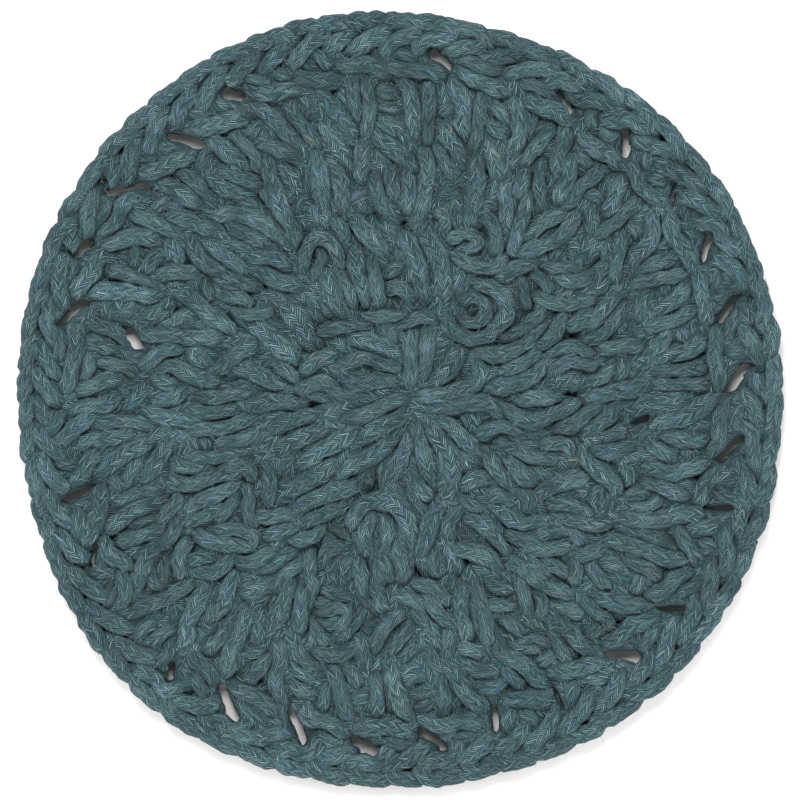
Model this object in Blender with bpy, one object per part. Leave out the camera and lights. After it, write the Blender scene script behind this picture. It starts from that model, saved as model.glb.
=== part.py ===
"""Round trivet crocheted from one thick cotton cord: a flat mat with its stitches raised on both faces."""

import math
from collections import namedtuple

import bpy
import numpy as np
from mathutils import Vector
from mathutils.geometry import delaunay_2d_cdt

# Sizes are in millimetres, angles in degrees counter-clockwise from +X, and rows run counter-clockwise
MM = 0.001

# Mat
RIM_RADIUS = 102.5
MAT_HEIGHT = 12.0
MID_HEIGHT = 6.0
Wave = namedtuple("Wave", "count swell_mm toward_deg")
RIM_WAVES = (
    Wave(1, 0.55, -103.0),
    Wave(2, 0.60, 96.0),
    Wave(3, 0.60, -4.0),
    Wave(4, 0.75, 43.0),
    Wave(5, 0.40, 24.0),
    Wave(6, 0.25, -18.0),
)

# Cord, as wide as it shows on each face
CORD_RADIUS = 3.1
LEG_RADIUS = 2.9
CORD_TOP = MAT_HEIGHT - CORD_RADIUS
POCKET_FLOOR = 4.6

# Chain of the last round, as runs of even links
LinkRun = namedtuple("LinkRun", "from_deg links")
LINK_RUNS = (
    LinkRun(1.0, 6),
    LinkRun(35.2, 6),
    LinkRun(71.2, 4),
    LinkRun(92.2, 3),
    LinkRun(107.2, 9),
    LinkRun(157.8, 2),
    LinkRun(171.0, 4),
    LinkRun(189.5, 2),
    LinkRun(202.0, 7),
    LinkRun(245.0, 9),
    LinkRun(296.5, 5),
    LinkRun(326.2, 6),
)
SCALLOP_DEPTH = 1.5

# Last round: where each stitch starts
STITCH_DEGS = (
    3.0, 14.6, 26.0, 37.0, 48.3, 60.2, 71.2, 82.6, 92.6,
    100.3, 107.8, 118.5, 129.6, 140.6, 153.5, 164.3, 175.0, 182.5,
    188.3, 196.3, 206.0, 216.0, 223.5, 229.8, 240.2, 251.6, 263.8,
    274.8, 286.3, 297.6, 310.4, 321.4, 330.5, 340.8, 350.6,
)

# Openings right through the mat, most of them at the start of a stitch of the last round: the two ends of each
# one's middle line, and its width
Slit = namedtuple("Slit", "deg out_mm to_deg to_out_mm wide_mm")
SLITS = (
    Slit(1.7, 87.4, 5.3, 91.3, 3.0),
    Slit(13.8, 87.0, 16.7, 92.1, 2.2),
    Slit(24.4, 88.0, 27.8, 91.8, 1.8),
    Slit(35.7, 88.9, 38.0, 91.5, 1.4),
    Slit(47.2, 88.1, 49.6, 91.8, 2.4),
    Slit(58.8, 88.3, 62.6, 91.0, 1.4),
    Slit(81.5, 88.7, 84.6, 91.3, 2.6),
    Slit(117.6, 89.9, 119.5, 92.1, 3.0),
    Slit(128.1, 85.5, 131.0, 91.2, 2.8),
    Slit(139.6, 87.0, 144.8, 93.4, 1.6),
    Slit(153.0, 90.8, 156.2, 92.7, 1.6),
    Slit(163.2, 87.0, 167.3, 91.3, 2.2),
    Slit(168.7, 70.6, 165.7, 72.8, 2.2),
    Slit(196.4, 86.8, 197.0, 91.0, 2.6),
    Slit(205.8, 88.7, 208.5, 91.7, 1.3),
    Slit(229.5, 92.2, 230.6, 94.8, 1.8),
    Slit(238.6, 89.4, 242.8, 94.0, 2.6),
    Slit(251.2, 87.6, 254.4, 93.0, 2.5),
    Slit(262.8, 90.4, 265.6, 92.5, 3.0),
    Slit(273.9, 87.6, 277.3, 92.1, 2.4),
    Slit(286.5, 90.5, 287.1, 86.2, 2.4),
    Slit(298.0, 91.5, 298.1, 86.6, 1.3),
    Slit(309.6, 87.3, 312.7, 91.9, 3.0),
    Slit(321.2, 88.3, 323.5, 92.4, 2.0),
    Slit(340.6, 87.0, 341.7, 91.5, 2.0),
    Slit(349.4, 86.2, 353.3, 90.0, 2.2),
    Slit(354.1, 62.4, 355.4, 65.0, 2.0),
)
SLIT_CORNERS = 8
SLIT_TOP = 7.4
SLIT_BOTTOM = 3.0

# Tall stitches of each round: where the two legs of a stitch meet, and how far out
Foot = namedtuple("Foot", "deg radius_mm")
OUTER_FEET = (
    Foot(7.0, 69.0),
    Foot(18.0, 69.0),
    Foot(29.5, 70.5),
    Foot(41.0, 69.0),
    Foot(50.5, 65.5),
    Foot(63.0, 67.0),
    Foot(74.5, 70.0),
    Foot(85.5, 68.0),
    Foot(97.5, 69.0),
    Foot(109.5, 71.5),
    Foot(122.5, 71.0),
    Foot(134.0, 72.5),
    Foot(144.0, 74.0),
    Foot(155.3, 70.0),
    Foot(167.3, 73.0),
    Foot(175.5, 71.0),
    Foot(186.0, 67.0),
    Foot(199.0, 66.0),
    Foot(209.3, 69.0),
    Foot(219.5, 72.5),
    Foot(224.5, 69.0),
    Foot(233.3, 70.0),
    Foot(243.3, 71.5),
    Foot(256.0, 70.5),
    Foot(266.3, 70.0),
    Foot(279.0, 71.0),
    Foot(291.0, 70.0),
    Foot(302.5, 70.5),
    Foot(314.0, 72.0),
    Foot(325.5, 70.5),
    Foot(334.0, 68.5),
    Foot(342.3, 68.0),
    Foot(353.0, 69.5),
)
MIDDLE_FEET = (
    Foot(1.5, 50.5),
    Foot(18.0, 51.5),
    Foot(36.0, 45.5),
    Foot(52.0, 48.0),
    Foot(67.0, 48.0),
    Foot(87.0, 47.0),
    Foot(107.0, 52.0),
    Foot(125.0, 49.0),
    Foot(142.0, 49.0),
    Foot(157.0, 49.5),
    Foot(173.0, 50.0),
    Foot(186.0, 49.5),
    Foot(203.0, 45.5),
    Foot(222.0, 51.0),
    Foot(240.0, 51.5),
    Foot(256.0, 53.5),
    Foot(272.0, 52.5),
    Foot(289.0, 49.0),
    Foot(306.0, 50.0),
    Foot(324.0, 49.0),
    Foot(342.0, 49.5),
)
INNER_FEET = (
    Foot(7.0, 27.0),
    Foot(27.0, 25.5),
    Foot(46.0, 25.5),
    Foot(66.0, 27.0),
    Foot(86.0, 28.0),
    Foot(108.0, 30.0),
    Foot(130.0, 28.0),
    Foot(150.0, 29.0),
    Foot(168.0, 28.0),
    Foot(186.0, 25.5),
    Foot(208.0, 26.0),
    Foot(230.0, 26.0),
    Foot(252.0, 28.0),
    Foot(275.0, 28.0),
    Foot(298.0, 30.0),
    Foot(320.0, 30.0),
    Foot(342.0, 29.0),
)
OUTER_TOP = 84.0
MIDDLE_TOP = 67.0
INNER_TOP = 48.0

# First round: loops drawn out of the middle, which lies a little off the mat's centre
HUB = (3.9, 0.5)
Loop = namedtuple("Loop", "from_deg to_deg reach_mm")
LOOPS = (
    Loop(-6.0, 24.0, 22.0),
    Loop(-26.0, -10.0, 22.5),
    Loop(-44.0, -38.0, 22.0),
    Loop(-70.0, -66.0, 25.0),
    Loop(-84.0, -82.0, 20.0),
    Loop(-98.0, -112.0, 22.5),
    Loop(-118.0, -136.0, 25.0),
    Loop(-142.0, -158.0, 23.0),
    Loop(-172.0, -178.0, 20.0),
    Loop(164.0, 160.0, 21.0),
    Loop(134.0, 138.0, 21.0),
    Loop(108.0, 112.0, 19.0),
    Loop(78.0, 88.0, 19.0),
    Loop(46.0, 58.0, 19.0),
    Loop(20.0, 38.0, 20.0),
)
LOOP_START = 2.5

# Underside: broad stitches pressed flat where the mat lies on its table
LAND_RADIUS = 4.2
LAND_RISE = 3.2
LAND_HALF = 1.7
GROOVE_DEPTH = 2.2
HUB_STITCHES = 12
HUB_TURN = 360.0 / HUB_STITCHES

# Facets
RIDGE_STEP = 3.8
TOP_SPACING = 2.0
GROOVE_SHOWS = 1.2
LAND_STEP = 5.0
LAND_SPACING = 2.6
RIM_SPACING = 1.7
WALL_HALF = 1.3
LINK_FACETS = 3

# Finish
CORD_COLOUR = (0.105, 0.168, 0.190, 1.0)
CORD_ROUGHNESS = 0.95

Strand = namedtuple("Strand", "path radius")


def around(angle, radius, height):
    """A point at an angle and a distance from the mat's centre."""
    turn = math.radians(angle)
    return (radius * math.cos(turn), radius * math.sin(turn), height)


def rim_at(angle):
    """The mat's outer radius without its scallops, wider and narrower by turns as it lies."""
    swell = sum(w.swell_mm * math.cos(math.radians(w.count * (angle - w.toward_deg))) for w in RIM_WAVES)
    return RIM_RADIUS + swell


def spans(angles):
    """Each angle with the turn to the next one round the mat."""
    following = list(angles[1:]) + [angles[0] + 360.0]
    return [(here, there - here) for here, there in zip(angles, following)]


def link_angles():
    """Where each link of the rim's chain starts."""
    angles = []
    for (start, turn), run in zip(spans([r.from_deg for r in LINK_RUNS]), LINK_RUNS):
        angles += [start + turn * i / run.links for i in range(run.links)]
    return angles


def smoothed(points, step):
    """Points evenly along a smooth curve through the given ones."""
    p = np.array(points, float)
    p = np.vstack((2 * p[0] - p[1], p, 2 * p[-1] - p[-2]))
    curve = []
    for a, b, c, d in zip(p, p[1:], p[2:], p[3:]):
        count = max(2, round(float(np.linalg.norm(c - b)) / 1.0))
        for t in np.linspace(0.0, 1.0, count, endpoint=False):
            curve.append(0.5 * (2 * b + (c - a) * t + (2 * a - 5 * b + 4 * c - d) * t**2 + (3 * b - 3 * c + d - a) * t**3))
    curve.append(p[-2])
    curve = np.array(curve)
    along = np.r_[0.0, np.cumsum(np.linalg.norm(np.diff(curve, axis=0), axis=1))]
    places = np.linspace(0.0, along[-1], max(2, round(along[-1] / step) + 1))
    return np.column_stack([np.interp(places, along, curve[:, axis]) for axis in range(3)])


def strand(points, radius=CORD_RADIUS, step=RIDGE_STEP):
    return Strand(smoothed(points, step), radius)


def rim_chain():
    """Two strands for each link: one bows out to the edge, one slants in over the stitches."""
    strands = []
    for angle, turn in spans(link_angles()):
        edge = rim_at(angle + turn / 2)
        strands.append(strand([
            around(angle + 0.05 * turn, edge - 5.6, CORD_TOP - 1.6),
            around(angle + 0.30 * turn, edge - 3.4, CORD_TOP - 1.2),
            around(angle + 0.75 * turn, edge - 3.2, CORD_TOP - 1.4),
            around(angle + 1.10 * turn, edge - 4.8, CORD_TOP - 3.0),
        ], LEG_RADIUS))
        strands.append(strand([
            around(angle + 0.05 * turn, edge - 5.8, CORD_TOP - 0.8),
            around(angle + 0.50 * turn, edge - 7.4, CORD_TOP),
            around(angle + 1.10 * turn, edge - 10.0, CORD_TOP - 1.8),
        ], LEG_RADIUS))
    return strands


def last_round():
    """A bar below each short stitch, and the stitch's two legs up to the chain."""
    strands = []
    for angle, turn in spans(STITCH_DEGS):
        strands.append(strand([
            around(angle - 1.0, 84.6, CORD_TOP - 2.2),
            around(angle + 0.22 * turn, 84.3, CORD_TOP),
            around(angle + 0.60 * turn, 84.2, CORD_TOP),
            around(angle + turn - 2.2, 87.6, CORD_TOP - 1.6),
        ]))
        strands.append(strand([
            around(angle + 0.42 * turn, 87.0, CORD_TOP - 2.0),
            around(angle + 0.47 * turn, 93.0, CORD_TOP - 1.8),
        ], LEG_RADIUS))
        strands.append(strand([
            around(angle + 0.60 * turn, 88.0, CORD_TOP - 1.6),
            around(angle + 0.84 * turn, 93.4, CORD_TOP - 1.8),
        ], LEG_RADIUS))
    return strands


def tall_round(feet, top):
    """For each stitch the two legs that meet at its foot, the wrap beside them and the band under it."""
    strands = []
    for (angle, turn), foot in zip(spans([f.deg for f in feet]), feet):
        low = foot.radius_mm
        rise = top - low
        strands.append(strand([
            around(angle - 0.15 * turn, top - 0.10 * rise, CORD_TOP - 1.4),
            around(angle - 0.13 * turn, low + 0.50 * rise, CORD_TOP - 0.2),
            around(angle - 0.02 * turn, low + 0.03 * rise, CORD_TOP - 0.6),
        ], LEG_RADIUS))
        strands.append(strand([
            around(angle + 0.08 * turn, low, CORD_TOP - 0.6),
            around(angle + 0.22 * turn, low + 0.45 * rise, CORD_TOP),
            around(angle + 0.48 * turn, top + 0.02 * rise, CORD_TOP - 0.9),
        ], LEG_RADIUS))
        strands.append(strand([
            around(angle + 0.42 * turn, low + 0.62 * rise, CORD_TOP - 1.6),
            around(angle + 0.72 * turn, low + 0.50 * rise, CORD_TOP - 1.4),
        ], LEG_RADIUS))
        strands.append(strand([
            around(angle + 0.26 * turn, low - 0.08 * rise, CORD_TOP - 1.4),
            around(angle + 0.50 * turn, low + 0.12 * rise, CORD_TOP - 1.0),
            around(angle + 0.76 * turn, low + 0.36 * rise, CORD_TOP - 1.8),
        ]))
    return strands


def hub_loops():
    """Loops from the middle outwards, each turning a little on its way."""
    strands = []
    for loop in LOOPS:
        points = []
        for share, height in ((0.0, -2.6), (0.35, -0.4), (0.75, 0.0), (1.0, -1.6)):
            reach = LOOP_START + share * (loop.reach_mm - LOOP_START)
            x, y, z = around(loop.from_deg + share * (loop.to_deg - loop.from_deg), reach, CORD_TOP + height)
            points.append((x + HUB[0], y + HUB[1], z))
        strands.append(strand(points))
    return strands


def top_strands():
    return (
        rim_chain() + last_round() + tall_round(OUTER_FEET, OUTER_TOP) + tall_round(MIDDLE_FEET, MIDDLE_TOP)
        + tall_round(INNER_FEET, INNER_TOP) + hub_loops()
    )


def underside_strands():
    """One broad stitch under each tall one, with bars between the rounds."""
    strands = []
    rounds = (
        (spans(STITCH_DEGS), 88.5, 94.5),
        (spans([f.deg for f in OUTER_FEET]), 71.0, 82.0),
        (spans([f.deg for f in MIDDLE_FEET]), 50.0, 64.0),
        (spans([f.deg for f in INNER_FEET]), 28.0, 43.0),
        (spans([HUB_TURN * i for i in range(HUB_STITCHES)]), 6.0, 20.0),
    )
    for stitches, inside, outside in rounds:
        for angle, turn in stitches:
            middle = angle + 0.5 * turn
            strands.append(strand([
                around(middle - 0.04 * turn, inside, LAND_RISE),
                around(middle + 0.04 * turn, outside, LAND_RISE),
            ], LAND_RADIUS, LAND_STEP))
    return strands


def slit_outline(slit):
    """A slit's corners, round its middle line. They run clockwise, so its wall faces in."""
    start = Vector(around(slit.deg, slit.out_mm, 0.0)[:2])
    line = Vector(around(slit.to_deg, slit.to_out_mm, 0.0)[:2]) - start
    middle = start + line / 2
    along = line.normalized()
    across = Vector((-along.y, along.x))
    corners = []
    for i in range(SLIT_CORNERS):
        turn = -2 * math.pi * i / SLIT_CORNERS
        place = middle + along * (line.length + slit.wide_mm) / 2 * math.cos(turn) + across * slit.wide_mm / 2 * math.sin(turn)
        corners.append((place.x, place.y))
    return corners


def rim_outline():
    """The scalloped edge, low between two links and full at the middle of each."""
    corners = []
    for angle, turn in spans(link_angles()):
        for i in range(LINK_FACETS):
            share = i / LINK_FACETS
            radius = rim_at(angle + share * turn) - SCALLOP_DEPTH * (1.0 - math.sin(math.pi * share))
            corners.append(around(angle + share * turn, radius, 0.0)[:2])
    return corners


def crown(places, strands):
    """The height of the highest strand over each place, and which strand that is."""
    height = np.full(len(places), -np.inf)
    which = np.full(len(places), -1)
    for index, (path, radius) in enumerate(strands):
        for a, b in zip(path, path[1:]):
            run = b[:2] - a[:2]
            share = np.clip((places - a[:2]) @ run / max(run @ run, 1e-9), 0.0, 1.0)
            near = a[:2] + share[:, None] * run
            off = ((places - near) ** 2).sum(axis=1)
            over = a[2] + share * (b[2] - a[2]) + np.sqrt(np.clip(radius**2 - off, 0.0, None))
            over[off > radius**2] = -np.inf
            higher = over > height
            height[higher] = over[higher]
            which[higher] = index
    return height, which


def inside(places, outline):
    """Which places lie in a closed outline."""
    corners = np.array(outline)
    result = np.zeros(len(places), bool)
    for (ax, ay), (bx, by) in zip(corners, np.roll(corners, -1, axis=0)):
        crosses = (ay > places[:, 1]) != (by > places[:, 1])
        with np.errstate(divide="ignore", invalid="ignore"):
            at = ax + (places[:, 1] - ay) / (by - ay) * (bx - ax)
        result ^= crosses & (places[:, 0] < at)
    return result


def candidates(strands, side_share, with_ridge):
    """Points on each strand's ridge, then on both its sides."""
    ridge = [(point[:2], index) for index, s in enumerate(strands) for point in s.path]
    sides = []
    for index, (path, radius) in enumerate(strands):
        for a, b in zip(path, path[1:]):
            run = (b - a)[:2]
            across = np.array((-run[1], run[0])) / max(float(np.linalg.norm(run)), 1e-9)
            for side in (-1.0, 1.0):
                sides.append((a[:2] * 0.5 + b[:2] * 0.5 + side * side_share * radius * across, index))
    return (ridge if with_ridge else []) + sides, len(ridge) if with_ridge else 0


def thinned(points, fixed, spacing, outlines):
    """The points that stay clear of the outlines and of each other, the first ones kept."""
    kept = []
    cells = {}
    edge = np.array(fixed)

    def cell(p):
        return (math.floor(p[0] / spacing), math.floor(p[1] / spacing))

    rim, *holes = outlines
    places = np.array(points)
    allowed = inside(places, rim)
    for hole in holes:
        allowed &= ~inside(places, hole)
    for place, fits in zip(places, allowed):
        if not fits or ((edge - place) ** 2).sum(axis=1).min() < RIM_SPACING**2:
            continue
        cx, cy = cell(place)
        around_it = [q for i in (-1, 0, 1) for j in (-1, 0, 1) for q in cells.get((cx + i, cy + j), ())]
        if any((q[0] - place[0]) ** 2 + (q[1] - place[1]) ** 2 < spacing**2 for q in around_it):
            continue
        cells.setdefault((cx, cy), []).append(place)
        kept.append(place)
    return kept


def triangulated(inner, outlines):
    """Triangles over the mat's plan, none in a slit. The outlines' corners come first."""
    corners = [corner for outline in outlines for corner in outline]
    edges = []
    start = 0
    for outline in outlines:
        count = len(outline)
        edges += [(start + i, start + (i + 1) % count) for i in range(count)]
        start += count
    places = [Vector(p) for p in corners] + [Vector((float(p[0]), float(p[1]))) for p in inner]
    _, _, faces, origins, _, _ = delaunay_2d_cdt(places, edges, [], 0, 1e-6)
    source = [o[0] for o in origins]
    triangles = np.array([[source[v] for v in face] for face in faces])
    flat = np.array([p[:] for p in places])
    centres = flat[triangles].mean(axis=1)
    rim, *holes = outlines
    wanted = inside(centres, rim)
    for hole in holes:
        wanted &= ~inside(centres, hole)
    return flat, triangles[wanted]


def top_face(outlines):
    strands = top_strands()
    points, ridges = candidates(strands, 0.92, True)
    places = np.array([p for p, _ in points])
    height, which = crown(places, strands)
    owner = np.array([index for _, index in points])
    on_ridge = np.arange(len(points)) < ridges
    crest = np.array([strands[index].path[:, 2].max() + strands[index].radius for index in owner])
    showing = np.where(on_ridge, which == owner, height < crest - GROOVE_SHOWS)
    order = [i for i in np.argsort(np.where(on_ridge, -height, height), kind="stable") if showing[i]]
    corners = [c for outline in outlines for c in outline]
    inner = thinned([places[i] for i in order], corners, TOP_SPACING, outlines)
    flat, triangles = triangulated(inner, outlines)
    height, _ = crown(flat, strands)
    height = np.clip(height, POCKET_FLOOR, MAT_HEIGHT)
    height[: len(outlines[0])] = MID_HEIGHT + WALL_HALF
    height[len(outlines[0]) : len(corners)] = SLIT_TOP
    return np.column_stack((flat, height)), triangles


def underside(outlines):
    strands = underside_strands()
    points, _ = candidates(strands, LAND_HALF / LAND_RADIUS, True)
    grooves, _ = candidates(strands, 1.15, False)
    corners = [c for outline in outlines for c in outline]
    order = [p for p, _ in points] + [p for p, _ in grooves]
    inner = thinned(order, corners, LAND_SPACING, outlines)
    flat, triangles = triangulated(inner, outlines)
    drop, _ = crown(flat, strands)
    depth = np.clip(np.where(np.isfinite(drop), 2 * LAND_RISE - drop, GROOVE_DEPTH), 0.0, GROOVE_DEPTH)
    depth[: len(outlines[0])] = MID_HEIGHT - WALL_HALF
    depth[len(outlines[0]) : len(corners)] = SLIT_BOTTOM
    return np.column_stack((flat, depth)), triangles[:, ::-1]


def mat_mesh():
    """Both faces joined by walls round the rim and round each slit."""
    outlines = [rim_outline()] + [slit_outline(slit) for slit in SLITS]
    upper, upper_faces = top_face(outlines)
    lower, lower_faces = underside(outlines)
    shift = len(upper)
    faces = upper_faces.tolist() + (lower_faces + shift).tolist()
    start = 0
    for outline in outlines:
        count = len(outline)
        for i in range(count):
            a = start + i
            b = start + (i + 1) % count
            faces += [(a, shift + a, shift + b), (a, shift + b, b)]
        start += count
    points = np.vstack((upper, lower))
    low = points.min(axis=0)
    high = points.max(axis=0)
    points -= ((low[0] + high[0]) / 2, (low[1] + high[1]) / 2, low[2])
    mesh = bpy.data.meshes.new("mat")
    mesh.from_pydata((points * MM).tolist(), [], faces)
    mesh.validate()
    return mesh


def cord_material():
    material = bpy.data.materials.new("cotton cord")
    material.use_nodes = True
    shader = material.node_tree.nodes["Principled BSDF"]
    shader.inputs["Base Color"].default_value = CORD_COLOUR
    shader.inputs["Roughness"].default_value = CORD_ROUGHNESS
    shader.inputs["Metallic"].default_value = 0.0
    material.diffuse_color = CORD_COLOUR
    return material


for item in list(bpy.data.objects):
    bpy.data.objects.remove(item, do_unlink=True)

mat = bpy.data.objects.new("mat", mat_mesh())
mat.data.materials.append(cord_material())
bpy.context.scene.collection.objects.link(mat)
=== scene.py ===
"""Round trivet crocheted from one thick cotton cord, lying on a pale table top and seen from straight above."""

import math
import random
from collections import namedtuple

import bmesh
import bpy
import numpy as np
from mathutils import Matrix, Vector
from mathutils.kdtree import KDTree


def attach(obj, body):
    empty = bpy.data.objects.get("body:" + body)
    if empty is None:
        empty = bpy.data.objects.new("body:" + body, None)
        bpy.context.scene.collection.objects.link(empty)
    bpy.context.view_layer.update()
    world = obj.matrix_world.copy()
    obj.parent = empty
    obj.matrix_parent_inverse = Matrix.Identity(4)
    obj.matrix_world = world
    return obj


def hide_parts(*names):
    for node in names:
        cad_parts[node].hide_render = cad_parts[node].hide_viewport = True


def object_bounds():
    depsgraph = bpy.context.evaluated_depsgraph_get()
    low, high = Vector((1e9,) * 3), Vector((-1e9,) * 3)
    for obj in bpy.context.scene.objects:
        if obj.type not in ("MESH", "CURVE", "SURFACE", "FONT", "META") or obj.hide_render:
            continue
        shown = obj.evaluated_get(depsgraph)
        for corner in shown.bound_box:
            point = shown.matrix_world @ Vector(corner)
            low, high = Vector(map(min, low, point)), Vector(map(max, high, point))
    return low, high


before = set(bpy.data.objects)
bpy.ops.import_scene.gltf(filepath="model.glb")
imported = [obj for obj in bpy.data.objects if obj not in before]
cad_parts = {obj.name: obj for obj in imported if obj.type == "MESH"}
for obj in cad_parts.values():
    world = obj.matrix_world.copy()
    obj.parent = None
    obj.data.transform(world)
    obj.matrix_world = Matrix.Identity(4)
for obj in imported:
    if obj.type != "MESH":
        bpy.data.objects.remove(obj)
cad_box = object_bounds()

# Sizes are in millimetres, angles in degrees counter-clockwise from +X, and rows run counter-clockwise
MM = 0.001

# Picture: 800 pixels a side, the mat's middle one pixel left of its centre and one above
PICTURE_PX = 800
PIXEL_MM = 0.2631
MIDDLE_OFF_PX = 1.0
CAMERA_AWAY = 1600.0
SENSOR_WIDTH = 36.0

# Mat, a little wider and narrower by turns round its edge
low, high = cad_box
MAT_HEIGHT = (high[2] - low[2]) / MM
RIM_RADIUS = 102.3
Wave = namedtuple("Wave", "count swell_mm toward_deg")
RIM_WAVES = (
    Wave(1, 0.55, -103.0),
    Wave(2, 0.60, 96.0),
    Wave(3, 0.60, -4.0),
    Wave(4, 0.75, 43.0),
    Wave(5, 0.40, 24.0),
    Wave(6, 0.25, -18.0),
)

# Cord: a soft plait, a little wider than it is thick where it lies between others. Widths are as it shows, in
# pixels. Its ends go on a little, drop out of sight and grow thinner
CORD_FLATNESS = 0.86
CHAIN_PX = 23
WIDE_PX = 22
LEG_PX = 21
NARROW_PX = 18
THICK_PX = 26
INSIDE_PX = 30
SINK_RUN = 2.0
SINK_DROP = 3.4
END_SHARE = 0.5
END_RUN = 5.0
PATH_STEP = 1.0

# Chain of the last round, as runs of even links
LinkRun = namedtuple("LinkRun", "from_deg links")
LINK_RUNS = (
    LinkRun(1.0, 6),
    LinkRun(35.2, 6),
    LinkRun(71.2, 4),
    LinkRun(92.2, 3),
    LinkRun(107.2, 9),
    LinkRun(157.8, 2),
    LinkRun(171.0, 4),
    LinkRun(189.5, 2),
    LinkRun(202.0, 7),
    LinkRun(245.0, 9),
    LinkRun(296.5, 5),
    LinkRun(326.2, 6),
)

# Openings that show the table: the two ends of each one's middle line, and its width, read off the picture.
# All but two are slits of the last round
Slit = namedtuple("Slit", "deg out_mm to_deg to_out_mm wide_mm")
SLITS = (
    Slit(1.7, 87.4, 5.3, 91.3, 3.0),
    Slit(13.8, 87.0, 16.7, 92.1, 2.2),
    Slit(24.4, 88.0, 27.8, 91.8, 1.8),
    Slit(35.7, 88.9, 38.0, 91.5, 1.4),
    Slit(47.2, 88.1, 49.6, 91.8, 2.4),
    Slit(58.8, 88.3, 62.6, 91.0, 1.4),
    Slit(81.5, 88.7, 84.6, 91.3, 2.6),
    Slit(117.6, 89.9, 119.5, 92.1, 3.0),
    Slit(128.1, 85.5, 131.0, 91.2, 2.8),
    Slit(139.6, 87.0, 144.8, 93.4, 1.6),
    Slit(153.0, 90.8, 156.2, 92.7, 1.6),
    Slit(163.2, 87.0, 167.3, 91.3, 2.2),
    Slit(168.7, 70.6, 165.7, 72.8, 2.2),
    Slit(196.4, 86.8, 197.0, 91.0, 2.6),
    Slit(205.8, 88.7, 208.5, 91.7, 1.3),
    Slit(229.5, 92.2, 230.6, 94.8, 1.8),
    Slit(238.6, 89.4, 242.8, 94.0, 2.6),
    Slit(251.2, 87.6, 254.4, 93.0, 2.5),
    Slit(262.8, 90.4, 265.6, 92.5, 3.0),
    Slit(273.9, 87.6, 277.3, 92.1, 2.4),
    Slit(286.5, 90.5, 287.1, 86.2, 2.4),
    Slit(298.0, 91.5, 298.1, 86.6, 1.3),
    Slit(309.6, 87.3, 312.7, 91.9, 3.0),
    Slit(321.2, 88.3, 323.5, 92.4, 2.0),
    Slit(340.6, 87.0, 341.7, 91.5, 2.0),
    Slit(349.4, 86.2, 353.3, 90.0, 2.2),
    Slit(354.1, 62.4, 355.4, 65.0, 2.0),
)

# Stitches as they lie in the picture. Each row is a run of cord, read at three places, its start, its middle and
# its end, each as an angle in degrees and a distance from the picture's centre in pixels

# Last round: the bar at the foot of each stitch, and the short legs between two slits
BARS = (
    (2.6, 314, 7.5, 315, 13, 323), (13.6, 315, 18.5, 317, 23.4, 323), (24, 328, 29, 319, 35.4, 323),
    (36.4, 325, 41, 324, 45.8, 328), (46.6, 329, 51, 320, 55.6, 321), (58.8, 328, 62, 331, 67.5, 324),
    (70.8, 325, 75, 329, 80.2, 334), (81.8, 328, 86.5, 330, 92, 329), (92.6, 330, 96, 335, 100.2, 346),
    (100.6, 323, 104, 329, 107.4, 337), (108, 331, 112, 331, 116.4, 345), (118.2, 325, 122.5, 326, 127.2, 343),
    (130.6, 321, 134.5, 329, 138.4, 349), (141.2, 343, 146.5, 335, 152, 345), (152.8, 333, 158, 333, 162.8, 350),
    (164.4, 340, 169.5, 332, 178.4, 335), (181.6, 306, 183.6, 325, 187, 349), (189.4, 308, 192.6, 324, 195, 339),
    (195.8, 308, 200.5, 319, 204.2, 345), (205.4, 333, 208.5, 326, 212, 325), (211.6, 325, 214.4, 331, 216.2, 348),
    (230.4, 327, 233.2, 330, 237, 339), (239.4, 329, 243.2, 330, 248, 336), (251.4, 332, 255.4, 331, 260.8, 336),
    (262.2, 333, 266.6, 326, 271.8, 333), (274.2, 332, 278.4, 327, 283.4, 338),
    (289.6, 318, 293.2, 325, 296.8, 339), (298.4, 314, 302.4, 319, 307.8, 329), (310.6, 321, 315, 323, 319.8, 333),
    (321.2, 319, 325.2, 324, 329.2, 337), (331.4, 345, 332.2, 325, 335.2, 313),
    (334.6, 312, 337.8, 322, 338.6, 345), (339.4, 313, 343.6, 316, 348.6, 324),
    (349.6, 317, 354.4, 321, 359.4, 326),
)
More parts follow.
